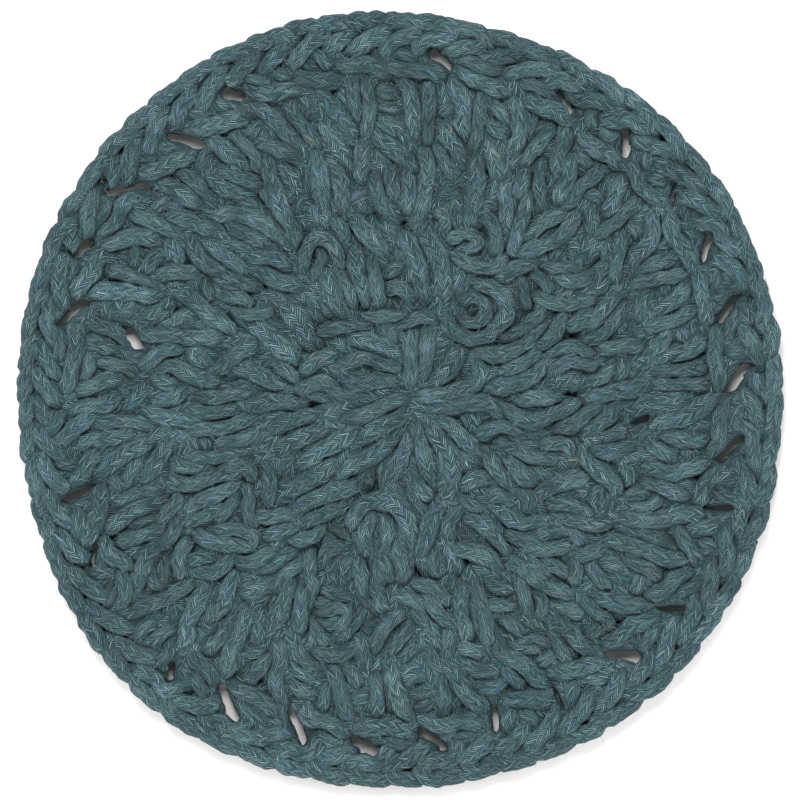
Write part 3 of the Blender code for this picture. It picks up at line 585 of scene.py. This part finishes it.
def turned_over(strands, turn):
    """The same stitches as they show on the underside, a little further round."""
    spin = math.radians(turn)
    return [
        Strand([
            (x * math.cos(spin) - y * math.sin(spin), x * math.sin(spin) + y * math.cos(spin), MAT_HEIGHT - z)
            for x, y, z in points
        ], radius)
        for points, radius in strands
    ]


def strayed(strand, side, chance):
    """The strand with the small unevenness of handwork. Its back, towards side, stays where it lies."""
    sunk_by = side * abs(chance.gauss(0.0, STRAY_UP))
    points = []
    for x, y, z in strand.points:
        dx = chance.gauss(0.0, STRAY_SIDEWAYS)
        dy = chance.gauss(0.0, STRAY_SIDEWAYS)
        points.append((x + dx, y + dy, z - sunk_by))
    return Strand(points, strand.radius * (1.0 - abs(chance.gauss(0.0, STRAY_WIDTH))))


def pushed_off_slits(points, radii):
    """The points moved aside where a cord of that radius would lie across an opening."""
    points = points.copy()
    for slit in SLITS:
        start = np.array(around(slit.deg, slit.out_mm, 0.0)[:2])
        line = np.array(around(slit.to_deg, slit.to_out_mm, 0.0)[:2]) - start
        share = np.clip((points[:, :2] - start) @ line / (line @ line), 0.0, 1.0)
        gap = points[:, :2] - start - share[:, None] * line
        distance = np.maximum(np.linalg.norm(gap, axis=1), 1e-6)
        push = np.maximum(slit.wide_mm / 2 + radii * SLIT_ROOM - distance, 0.0)
        points[:, :2] += gap / distance[:, None] * push[:, None]
    return points


def sunk(points, side):
    """The strand's points with both ends led down under their neighbours. side is -1 on the underside."""
    p = [np.array(q) for q in points]
    ends = []
    for tip, before in ((p[0], p[1]), (p[-1], p[-2])):
        run = tip - before
        run[2] = 0.0
        run = run / max(float(np.linalg.norm(run)), 1e-6)
        ends.append(tip + run * SINK_RUN - np.array((0.0, 0.0, side * SINK_DROP)))
    return [ends[0]] + p + [ends[1]]


def smoothed(points, step):
    """Points evenly along a smooth curve through the given ones."""
    p = np.array(points, float)
    p = np.vstack((2 * p[0] - p[1], p, 2 * p[-1] - p[-2]))
    curve = []
    for a, b, c, d in zip(p, p[1:], p[2:], p[3:]):
        for t in np.linspace(0.0, 1.0, CURVE_PARTS, endpoint=False):
            bent = 2 * b + (c - a) * t + (2 * a - 5 * b + 4 * c - d) * t**2 + (3 * b - 3 * c + d - a) * t**3
            curve.append(0.5 * bent)
    curve.append(p[-2])
    curve = np.array(curve)
    along = np.r_[0.0, np.cumsum(np.linalg.norm(np.diff(curve, axis=0), axis=1))]
    places = np.linspace(0.0, along[-1], max(FEWEST_POINTS, round(along[-1] / step) + 1))
    return np.column_stack([np.interp(places, along, curve[:, axis]) for axis in range(3)])


def laid_down(strands, side, firm, chance):
    """The path of each strand, strayed as handwork, led down at both ends, and ending at an opening it would cross."""
    paths = []
    for strand in strands:
        strand = strayed(strand, side, chance)
        points = smoothed(sunk(strand.points, side), PATH_STEP)
        number = np.arange(len(points))
        from_end = np.minimum(number, number[::-1]) * PATH_STEP
        radii = strand.radius * np.minimum(1.0, END_SHARE + (1.0 - END_SHARE) * from_end / END_RUN)
        points = pushed_off_slits(points, radii)
        steps = np.linalg.norm(np.diff(points[:, :2], axis=0), axis=1)
        breaks = [0] + [i + 1 for i in np.nonzero(steps > SLIT_JUMP)[0]] + [len(points)]
        start, end = max(zip(breaks, breaks[1:]), key=lambda piece: piece[1] - piece[0])
        if end - start > TOO_FEW_POINTS:
            paths.append(Path(points[start:end], radii[start:end], firm))
    return paths


def evened(values, inner):
    """Values along all paths, each one between a path's ends drawn toward its neighbours' mean."""
    values = values.copy()
    values[inner] = 0.5 * values[inner] + 0.25 * (values[inner - 1] + values[inner + 1])
    return values


def settled(paths):
    """The cords pressed together until they touch, over or under where they cross, and clear of the openings."""
    points = np.vstack([path.points for path in paths])
    radii = np.concatenate([path.radii for path in paths])
    counts = [len(path.points) for path in paths]
    firm = np.repeat([path.firm for path in paths], counts)
    owner = np.repeat(np.arange(len(paths)), counts)
    inner = np.nonzero(owner[:-2] == owner[2:])[0] + 1
    home = points.copy()

    near = KDTree(len(points))
    for number, point in enumerate(points):
        near.insert(point, number)
    near.balance()
    pairs = [
        (number, other)
        for number, point in enumerate(points)
        for _, other, _ in near.find_range(point, REACH)
        if other > number and owner[other] != owner[number]
    ]
    a, b = np.array(pairs).T

    def apart():
        gap = points[b] - points[a]
        gap[:, 2] /= CORD_FLATNESS
        return gap, np.maximum(np.linalg.norm(gap, axis=1), 1e-6)

    for _ in range(SETTLE_ROUNDS):
        gap, distance = apart()
        short = np.maximum((radii[a] + radii[b]) * TOUCH - distance, 0.0)
        push = gap * (short / distance * 0.5)[:, None]
        touching = (short > 0.0).astype(float)
        number = np.bincount(a, touching, len(points)) + np.bincount(b, touching, len(points))
        for axis in range(3):
            moved = np.bincount(b, push[:, axis], len(points)) - np.bincount(a, push[:, axis], len(points))
            points[:, axis] += moved / np.maximum(number, 1.0)
        for axis in range(3):
            points[:, axis] = evened(points[:, axis], inner)
        points += firm[:, None] * (home - points)
        points = pushed_off_slits(points, radii)
        thick = radii * CORD_FLATNESS + LUMP_HEIGHT * LUMP_ROOM
        points[:, 2] = np.clip(points[:, 2], thick, MAT_HEIGHT - thick)

    _, distance = apart()
    share = np.clip(distance / ((radii[a] + radii[b]) * SEAM), NARROWEST, 1.0)
    squeeze = np.ones(len(points))
    np.minimum.at(squeeze, a, share)
    np.minimum.at(squeeze, b, share)
    radii = radii * evened(evened(squeeze, inner), inner)
    ends = np.cumsum(counts)
    return [Path(points[end - count : end], radii[end - count : end], 0.0) for end, count in zip(ends, counts)]


def add(tree, kind, inputs=None, **settings):
    """A node with its settings, each of its inputs set to a value or linked to a socket or a node's first output."""
    node = tree.nodes.new(kind)
    for name, value in settings.items():
        setattr(node, name, value)
    for name, value in (inputs or {}).items():
        value = value.outputs[0] if isinstance(value, bpy.types.Node) else value
        if isinstance(value, bpy.types.NodeSocket):
            tree.links.new(value, node.inputs[name])
        else:
            node.inputs[name].default_value = value
    return node


def linear(hex_colour):
    """An sRGB hex colour as linear RGBA."""
    channels = [int(hex_colour[i : i + 2], 16) / 255.0 for i in (1, 3, 5)]
    return tuple(c / 12.92 if c <= 0.04045 else ((c + 0.055) / 1.055) ** 2.4 for c in channels) + (1.0,)


def shaded(ramp, stops, interpolation="LINEAR"):
    """Gives a colour ramp its stops, each a position and an sRGB hex colour. Its own two take the first two."""
    ramp.interpolation = interpolation
    ramp.elements[0].color = linear(stops[0][1])
    ramp.elements[1].position = stops[1][0]
    ramp.elements[1].color = linear(stops[1][1])
    for position, hex_colour in stops[2:]:
        ramp.elements.new(position).color = linear(hex_colour)


def cotton_cord():
    """Cord plaited from recycled cotton: matt, heathered dark teal-grey, slanting strokes of light and dark fibre. Its
    grooves carry painted shade, and the middle of each stroke partly a painted highlight.
    """
    material = bpy.data.materials.new("heathered_cotton_cord")
    material.use_nodes = True
    tree = material.node_tree
    tree.nodes.clear()

    # The cord's own directions: millimetres along it, and columns of the plait round it
    way = add(tree, "ShaderNodeUVMap", uv_map="cord_way")
    split = add(tree, "ShaderNodeSeparateXYZ", {0: way})
    strand = add(tree, "ShaderNodeAttribute", attribute_name="strand_chance").outputs["Fac"]

    # Columns of strokes that slant one way and the other by turns
    column = add(tree, "ShaderNodeMath", {0: split.outputs[1]}, operation="FLOOR")
    across = add(tree, "ShaderNodeMath", {0: split.outputs[1]}, operation="FRACT")
    odd = add(tree, "ShaderNodeMath", {0: column, 1: 2.0}, operation="FLOORED_MODULO")
    side = add(tree, "ShaderNodeMath", {0: odd, 1: -2.0, 2: 1.0}, operation="MULTIPLY_ADD")
    slant = add(tree, "ShaderNodeMath", {0: side, 1: STROKE_SLANT}, operation="MULTIPLY")
    lean = add(tree, "ShaderNodeMath", {0: across, 1: slant}, operation="MULTIPLY")
    phase = add(tree, "ShaderNodeMath", {0: split, 1: 1.0 / STROKE_LENGTH, 2: lean}, operation="MULTIPLY_ADD")
    wobble = add(tree, "ShaderNodeTexNoise", {"Vector": way, "Scale": 0.9, "Detail": 1.0}, noise_dimensions="2D")
    phase = add(tree, "ShaderNodeMath", {0: wobble, 1: STROKE_WAVER, 2: phase}, operation="MULTIPLY_ADD")
    stroke = add(tree, "ShaderNodeMath", {0: phase}, operation="FLOOR")
    within = add(tree, "ShaderNodeMath", {0: phase}, operation="FRACT")

    # Each stroke is rounded across and falls away at its column's edges
    swell = add(tree, "ShaderNodeMath", {0: within, 1: math.pi}, operation="MULTIPLY")
    swell = add(tree, "ShaderNodeMath", {0: swell}, operation="SINE")
    belly = add(tree, "ShaderNodeMath", {0: across, 1: math.pi}, operation="MULTIPLY")
    belly = add(tree, "ShaderNodeMath", {0: belly}, operation="SINE")
    belly = add(tree, "ShaderNodeMath", {0: belly, 1: 0.6, 2: 0.4}, operation="MULTIPLY_ADD")
    relief = add(tree, "ShaderNodeMath", {0: swell, 1: belly}, operation="MULTIPLY")

    # Fibres run with the strokes
    fibre_way = add(tree, "ShaderNodeCombineXYZ", {0: phase, 1: split, 2: strand})
    fibre_way = add(tree, "ShaderNodeVectorMath", {0: fibre_way, 1: FIBRE_FINENESS}, operation="MULTIPLY")
    fibres = add(tree, "ShaderNodeTexNoise", {"Vector": fibre_way, "Scale": 1.0, "Detail": 2.0, "Roughness": 0.6})

    # Each stroke is lighter or darker by chance, with its light kept to its raised middle as a partly painted
    # highlight
    chance_at = add(tree, "ShaderNodeCombineXYZ", {0: column, 1: stroke, 2: strand})
    chance = add(tree, "ShaderNodeTexWhiteNoise", {"Vector": chance_at}, noise_dimensions="3D")
    ridge = add(tree, "ShaderNodeMath", {0: swell, 1: RIDGE_SHARPNESS}, operation="POWER")
    light = add(tree, "ShaderNodeMath", {0: chance, 1: 0.84, 2: 0.18}, operation="MULTIPLY_ADD")
    light = add(tree, "ShaderNodeMath", {0: light, 1: ridge}, operation="MULTIPLY")
    # Painted shade: the tone falls with the stroke's relief, darkest in the grooves and at the columns' edges
    tone = add(tree, "ShaderNodeMath", {0: relief, 1: RELIEF_SHADE_TONE, 2: GROOVE_TONE}, operation="MULTIPLY_ADD")
    tone = add(tree, "ShaderNodeMath", {0: light, 1: STROKE_AND_HIGHLIGHT_TONE, 2: tone}, operation="MULTIPLY_ADD")
    streak = add(tree, "ShaderNodeMapRange", {0: fibres, 1: 0.34, 2: 0.66, 3: -FIBRE_TONE, 4: FIBRE_TONE})
    tone = add(tree, "ShaderNodeMath", {0: tone, 1: streak}, operation="ADD", use_clamp=True)
    shades = add(tree, "ShaderNodeValToRGB", {0: tone})
    shaded(shades.color_ramp, ((0.0, "#203034"), (1.0, "#8FA8AD"), (0.35, "#2F454B")))

    # Broad soft changes of tone, and from cord to cord
    place = add(tree, "ShaderNodeTexCoord")
    cloud = add(tree, "ShaderNodeTexNoise", {"Vector": place.outputs["Object"], "Scale": 90.0, "Detail": 1.0})
    cloud = add(tree, "ShaderNodeMapRange", {0: cloud, 1: 0.3, 2: 0.7, 3: CLOUD_TONES[0], 4: CLOUD_TONES[1]})
    own_tone = add(tree, "ShaderNodeMapRange", {0: strand, 1: 0.0, 2: 1.0, 3: CORD_TONES[0], 4: CORD_TONES[1]})
    cloud = add(tree, "ShaderNodeMath", {0: cloud, 1: own_tone}, operation="MULTIPLY")
    clouded = add(tree, "ShaderNodeVectorMath", {0: shades, "Scale": cloud}, operation="SCALE")

    # Strokes that are a little greener or bluer, and rare ones of other dyed fibre
    hue = add(tree, "ShaderNodeTexWhiteNoise", {"Vector": chance_at, "W": 5.0}, noise_dimensions="4D")
    tints = add(tree, "ShaderNodeValToRGB", {0: hue})
    shaded(tints.color_ramp, (
        (0.0, "#FFFFFF"), (0.55, "#E9FFFA"), (0.72, "#ECF5FF"), (0.86, "#EFFFF2"), (0.95, "#F6F2FF"),
    ), "CONSTANT")
    tinted = add(tree, "ShaderNodeVectorMath", {0: clouded, 1: tints}, operation="MULTIPLY")
    other = add(tree, "ShaderNodeTexWhiteNoise", {"Vector": chance_at, "W": 3.0}, noise_dimensions="4D")
    rare = add(tree, "ShaderNodeMath", {0: other, 1: RARE_FROM}, operation="GREATER_THAN")
    dyes = add(tree, "ShaderNodeValToRGB", {0: chance})
    shaded(dyes.color_ramp, (
        (0.0, "#2E7F8C"), (0.45, "#3F6096"), (0.70, "#3F8468"), (0.86, "#9A9C74"), (0.95, "#86524E"),
    ), "CONSTANT")
    share = add(tree, "ShaderNodeMath", {0: rare, 1: RARE_SHARE}, operation="MULTIPLY")
    colour = add(tree, "ShaderNodeMix", {"Factor": share, 6: tinted, 7: dyes}, data_type="RGBA")

    height = add(tree, "ShaderNodeMath", {0: fibres, 1: 0.3, 2: relief}, operation="MULTIPLY_ADD")
    bump = add(tree, "ShaderNodeBump", {"Height": height, "Strength": 1.0, "Distance": PLAIT_DEPTH * MM})
    shader = add(tree, "ShaderNodeBsdfPrincipled", {
        "Base Color": colour.outputs["Result"],
        "Roughness": 0.9,
        "Specular IOR Level": 0.15,
        "Sheen Weight": 0.12,
        "Sheen Roughness": 0.5,
        "Sheen Tint": linear("#9FBEC4"),
        "Normal": bump,
    })
    add(tree, "ShaderNodeOutputMaterial", {"Surface": shader})
    material.diffuse_color = linear("#5C7379")
    return material


def plain_finish(name, hex_colour, roughness, specular=0.5):
    """A finish of one colour."""
    material = bpy.data.materials.new(name)
    material.use_nodes = True
    shader = material.node_tree.nodes["Principled BSDF"]
    shader.inputs["Base Color"].default_value = linear(hex_colour)
    shader.inputs["Roughness"].default_value = roughness
    shader.inputs["Specular IOR Level"].default_value = specular
    return material


def loose_fibre():
    """Cotton fibre that stands off the cord: thin, pale and matt."""
    return plain_finish("loose_cotton_fibre", "#7F999F", 0.95, 0.2)


def table_top():
    """Plain matt white table top."""
    return plain_finish("matt_white_board", "#F4F2F0", 0.8)


def new_tree(name, inputs):
    """A geometry tree with named inputs, and the sockets that they come in by."""
    tree = bpy.data.node_groups.new(name, "GeometryNodeTree")
    tree.interface.new_socket("Geometry", in_out="INPUT", socket_type="NodeSocketGeometry")
    for title, kind in inputs:
        tree.interface.new_socket(title, in_out="INPUT", socket_type="NodeSocket" + kind)
    tree.interface.new_socket("Geometry", in_out="OUTPUT", socket_type="NodeSocketGeometry")
    return tree, add(tree, "NodeGroupInput").outputs


def cord_tree():
    """Sweeps a plaited cord along each curve, with its own directions kept for the material."""
    tree, given = new_tree("crocheted_cord", (
        ("Ring step", "Float"), ("Sides", "Int"), ("Flatness", "Float"), ("Seam turn", "Float"),
        ("Plait columns", "Float"), ("Lump height", "Float"), ("Lumps per metre", "Float"), ("Seed", "Int"),
        ("Material", "Material"),
    ))

    rings = add(tree, "GeometryNodeResampleCurve", {
        "Curve": given["Geometry"], "Length": given["Ring step"],
    }, mode="LENGTH")
    rings = add(tree, "GeometryNodeSetCurveNormal", {"Curve": rings}, mode="Z_UP")
    reached = add(tree, "GeometryNodeSplineParameter")
    rings = add(tree, "GeometryNodeStoreNamedAttribute", {
        "Geometry": rings, "Name": "cord_along", "Value": reached.outputs["Length"],
    }, data_type="FLOAT", domain="POINT")
    number = add(tree, "GeometryNodeInputIndex")
    chance = add(tree, "FunctionNodeRandomValue", {"ID": number, "Seed": given["Seed"]}, data_type="FLOAT")
    rings = add(tree, "GeometryNodeStoreNamedAttribute", {
        "Geometry": rings, "Name": "strand_chance", "Value": chance.outputs["Value"],
    }, data_type="FLOAT", domain="CURVE")

    ring = add(tree, "GeometryNodeCurvePrimitiveCircle", {"Resolution": given["Sides"], "Radius": 1.0})
    turn = add(tree, "ShaderNodeCombineXYZ", {2: given["Seam turn"]})
    squeeze = add(tree, "ShaderNodeCombineXYZ", {0: 1.0, 1: given["Flatness"], 2: 1.0})
    ring = add(tree, "GeometryNodeTransform", {"Geometry": ring, "Rotation": turn})
    ring = add(tree, "GeometryNodeTransform", {"Geometry": ring, "Scale": squeeze})
    share = add(tree, "GeometryNodeSplineParameter")
    ring = add(tree, "GeometryNodeStoreNamedAttribute", {
        "Geometry": ring, "Name": "cord_around", "Value": share.outputs["Factor"],
    }, data_type="FLOAT", domain="POINT")
    width = add(tree, "GeometryNodeInputRadius")
    swept = add(tree, "GeometryNodeCurveToMesh", {
        "Curve": rings, "Profile Curve": ring, "Scale": width, "Fill Caps": True,
    })

    # A corner just past the seam counts on from 1 instead of starting again at 0
    along = add(tree, "GeometryNodeInputNamedAttribute", {"Name": "cord_along"}, data_type="FLOAT")
    round_it = add(tree, "GeometryNodeInputNamedAttribute", {"Name": "cord_around"}, data_type="FLOAT")
    mean = add(tree, "GeometryNodeFieldOnDomain", {0: round_it}, data_type="FLOAT", domain="FACE")
    short = add(tree, "ShaderNodeMath", {0: mean, 1: round_it}, operation="SUBTRACT")
    past = add(tree, "ShaderNodeMath", {0: short, 1: 0.25}, operation="GREATER_THAN")
    whole = add(tree, "ShaderNodeMath", {0: round_it, 1: past}, operation="ADD")
    in_mm = add(tree, "ShaderNodeMath", {0: along, 1: 1.0 / MM}, operation="MULTIPLY")
    columns = add(tree, "ShaderNodeMath", {0: whole, 1: given["Plait columns"]}, operation="MULTIPLY")
    way = add(tree, "ShaderNodeCombineXYZ", {0: in_mm, 1: columns})
    mapped = add(tree, "GeometryNodeStoreNamedAttribute", {
        "Geometry": swept, "Name": "cord_way", "Value": way,
    }, data_type="FLOAT2", domain="CORNER")

    # The plait is uneven by hand and by pressure, so that a cord's edge isn't a smooth line
    lumps = add(tree, "ShaderNodeTexNoise", {"Scale": given["Lumps per metre"], "Detail": 0.5, "Roughness": 0.5})
    lump = add(tree, "ShaderNodeMapRange", {0: lumps, 1: 0.3, 2: 0.7, 3: -1.0, 4: 0.6})
    lump = add(tree, "ShaderNodeMath", {0: lump, 1: given["Lump height"]}, operation="MULTIPLY")
    outward = add(tree, "GeometryNodeInputNormal")
    offset = add(tree, "ShaderNodeVectorMath", {0: outward, "Scale": lump}, operation="SCALE")
    mapped = add(tree, "GeometryNodeSetPosition", {"Geometry": mapped, "Offset": offset})
    smooth = add(tree, "GeometryNodeSetShadeSmooth", {"Geometry": mapped})
    real = add(tree, "GeometryNodeRealizeInstances", {"Geometry": smooth})
    clad = add(tree, "GeometryNodeSetMaterial", {"Geometry": real, "Material": given["Material"]})
    add(tree, "NodeGroupOutput", {0: clad})
    return tree


def fibre_tree():
    """Short fibres standing off the upper side of a surface, at random but the same each time."""
    tree, given = new_tree("standing_fibres", (
        ("Density", "Float"), ("Length", "Float"), ("Radius", "Float"), ("Seed", "Int"), ("Material", "Material"),
    ))
    facing = add(tree, "GeometryNodeInputNormal")
    facing = add(tree, "ShaderNodeSeparateXYZ", {0: facing})
    upward = add(tree, "FunctionNodeCompare", {
        0: facing.outputs[2], 1: UPWARD,
    }, data_type="FLOAT", operation="GREATER_THAN")
    roots = add(tree, "GeometryNodeDistributePointsOnFaces", {
        "Mesh": given["Geometry"], "Density": given["Density"], "Seed": given["Seed"], "Selection": upward,
    }, distribute_method="RANDOM")
    bend = add(tree, "ShaderNodeVectorMath", {0: FIBRE_BEND, "Scale": given["Length"]}, operation="SCALE")
    tip = add(tree, "ShaderNodeVectorMath", {0: FIBRE_TIP, "Scale": given["Length"]}, operation="SCALE")
    hair = add(tree, "GeometryNodeCurveQuadraticBezier", {
        "Resolution": 2, "Start": (0.0, 0.0, 0.0), "Middle": bend, "End": tip,
    })
    section = add(tree, "GeometryNodeCurvePrimitiveCircle", {"Resolution": 3, "Radius": given["Radius"]})
    hair = add(tree, "GeometryNodeCurveToMesh", {"Curve": hair, "Profile Curve": section, "Fill Caps": True})
    spin = add(tree, "FunctionNodeRandomValue", {
        0: (-FIBRE_LEAN, -FIBRE_LEAN, 0.0), 1: (FIBRE_LEAN, FIBRE_LEAN, math.tau), "Seed": given["Seed"],
    }, data_type="FLOAT_VECTOR")
    stand = add(tree, "FunctionNodeRotateRotation", {
        "Rotation": roots.outputs["Rotation"], "Rotate By": spin.outputs["Value"],
    }, rotation_space="LOCAL")
    size = add(tree, "FunctionNodeRandomValue", {
        2: FIBRE_SIZES[0], 3: FIBRE_SIZES[1], "Seed": given["Seed"],
    }, data_type="FLOAT")
    standing = add(tree, "GeometryNodeInstanceOnPoints", {
        "Points": roots.outputs["Points"], "Instance": hair, "Rotation": stand, "Scale": size.outputs["Value"],
    })
    real = add(tree, "GeometryNodeRealizeInstances", {"Geometry": standing})
    clad = add(tree, "GeometryNodeSetMaterial", {"Geometry": real, "Material": given["Material"]})
    add(tree, "NodeGroupOutput", {0: clad})
    return tree


def placed(name, data):
    """A new object in the scene."""
    thing = bpy.data.objects.new(name, data)
    bpy.context.scene.collection.objects.link(thing)
    return thing


def made_plain(source, tree, values, name):
    """Runs a node tree on an object and keeps the result as a plain mesh of its own."""
    modifier = source.modifiers.new(name, "NODES")
    modifier.node_group = tree
    for item in tree.interface.items_tree:
        if item.item_type == "SOCKET" and item.in_out == "INPUT" and item.name in values:
            modifier[item.identifier] = values[item.name]
    bpy.context.view_layer.update()
    graph = bpy.context.evaluated_depsgraph_get()
    mesh = bpy.data.meshes.new_from_object(source.evaluated_get(graph), depsgraph=graph)
    mesh.name = name
    piece = placed(name, mesh)
    bpy.data.objects.remove(source, do_unlink=True)
    return piece


def cord_curves(name, paths):
    """One spline for each path."""
    curve = bpy.data.curves.new(name + "_run", "CURVE")
    curve.dimensions = "3D"
    for path in paths:
        spline = curve.splines.new("POLY")
        spline.points.add(len(path.points) - 1)
        for point, (x, y, z), radius in zip(spline.points, path.points, path.radii):
            point.co = (x * MM, y * MM, z * MM, 1.0)
            point.radius = radius * MM
    return placed(name + "_run", curve)


def crocheted(rounds, lot, first, chance, sweep, cotton):
    """The rounds of a lot laid down together, settled, and swept as pieces. first counts the pieces before them."""
    laid_rounds = [
        laid_down(strands, lot.side, CHAIN_PULL_HOME if "rim" in name else PULL_HOME, chance)
        for name, strands in rounds
    ]
    together = [path for paths in laid_rounds for path in paths]
    together = settled(together) if lot.settle else together
    swept = []
    for number, ((name, _), paths) in enumerate(zip(rounds, laid_rounds), first):
        mine, together = together[: len(paths)], together[len(paths) :]
        swept.append(made_plain(cord_curves(name, mine), sweep, {
            "Ring step": lot.ring_step * MM, "Sides": lot.sides, "Flatness": CORD_FLATNESS,
            "Seam turn": -lot.side * math.pi / 2, "Plait columns": float(lot.columns),
            "Lump height": LUMP_HEIGHT * MM, "Lumps per metre": 1.0 / (LUMP_LENGTH * MM),
            "Seed": SEED + number, "Material": cotton,
        }, name))
    return swept


def fibres_on(pieces):
    """Loose fibres on the cords of the face."""
    joined = bmesh.new()
    for piece in pieces:
        joined.from_mesh(piece.data)
    face_of_mat = bpy.data.meshes.new("face_of_mat")
    joined.to_mesh(face_of_mat)
    joined.free()
    return made_plain(placed("face_of_mat", face_of_mat), fibre_tree(), {
        "Density": FIBRES_PER_MM2 / MM**2, "Length": FIBRE_LENGTH * MM, "Radius": FIBRE_RADIUS * MM, "Seed": SEED,
        "Material": loose_fibre(),
    }, "loose_fibres")


def soft_light(lamp):
    """A square soft light that faces the mat."""
    data = bpy.data.lights.new(lamp.name, "AREA")
    data.shape = "SQUARE"
    data.size = lamp.size
    data.energy = lamp.power
    light = placed(lamp.name, data)
    light.location = lamp.place
    light.rotation_euler = (Vector() - Vector(lamp.place)).to_track_quat("-Z", "Y").to_euler()


FACE = (
    ("rim_chain", rim_chain()),
    ("last_round", stitched(LAST_ROUND)),
    ("outer_round", stitched(OUTER_ROUND)),
    ("middle_round", stitched(MIDDLE_ROUND)),
    ("inner_round", knotted(INNER_KNOTS, KNOT_END_DEPTH)),
    ("centre_loops", knotted(MIDDLE_LOOPS, LOOP_END_DEPTH)),
)
INSIDE = (("inside_rounds", plain_rounds(INSIDE_ROUNDS, INSIDE_DEPTH, INSIDE_PX)),)
UNDERSIDE = (
    ("underside_rim", turned_over(rim_chain() + stitched(LAST_ROUND), 0.0)),
    ("underside_rounds", turned_over(plain_rounds(UNDERSIDE_ROUNDS, 0.0, THICK_PX), UNDERSIDE_TURN)),
)

cotton = cotton_cord()
sweep = cord_tree()
chance = random.Random(SEED)
pieces = []
for rounds, lot in ((FACE, FACE_LOT), (INSIDE, INSIDE_LOT), (UNDERSIDE, UNDER_LOT)):
    pieces += crocheted(rounds, lot, len(pieces), chance, sweep, cotton)

fuzz = fibres_on(pieces[: len(FACE)])
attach(fuzz, "root")
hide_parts("mat")

for piece in pieces:
    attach(piece, "root")
    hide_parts("mat")

# Table top, lights and camera
board = bpy.data.meshes.new("table_top")
corners = [(x * TABLE_HALF, y * TABLE_HALF, 0.0) for x, y in ((-1, -1), (1, -1), (1, 1), (-1, 1))]
board.from_pydata(corners, [], [(0, 1, 2, 3)])
board.materials.append(table_top())
board = placed("table_top", board)

for lamp in LAMPS:
    soft_light(lamp)
world = bpy.data.worlds.new("studio_white")
world.use_nodes = True
world.node_tree.nodes["Background"].inputs["Color"].default_value = linear("#F6F8FA")
world.node_tree.nodes["Background"].inputs["Strength"].default_value = ROOM_LIGHT
bpy.context.scene.world = world
bpy.context.scene.view_settings.view_transform = "Standard"

lens = bpy.data.cameras.new("camera")
lens.sensor_width = SENSOR_WIDTH
lens.lens = SENSOR_WIDTH * CAMERA_AWAY / (PICTURE_PX * PIXEL_MM)
lens.clip_end = CAMERA_SEES
camera = placed("camera", lens)
camera.location = (MIDDLE_OFF_PX * PIXEL_MM * MM, -MIDDLE_OFF_PX * PIXEL_MM * MM, (CAMERA_AWAY + MAT_HEIGHT / 2) * MM)
bpy.context.scene.camera = camera
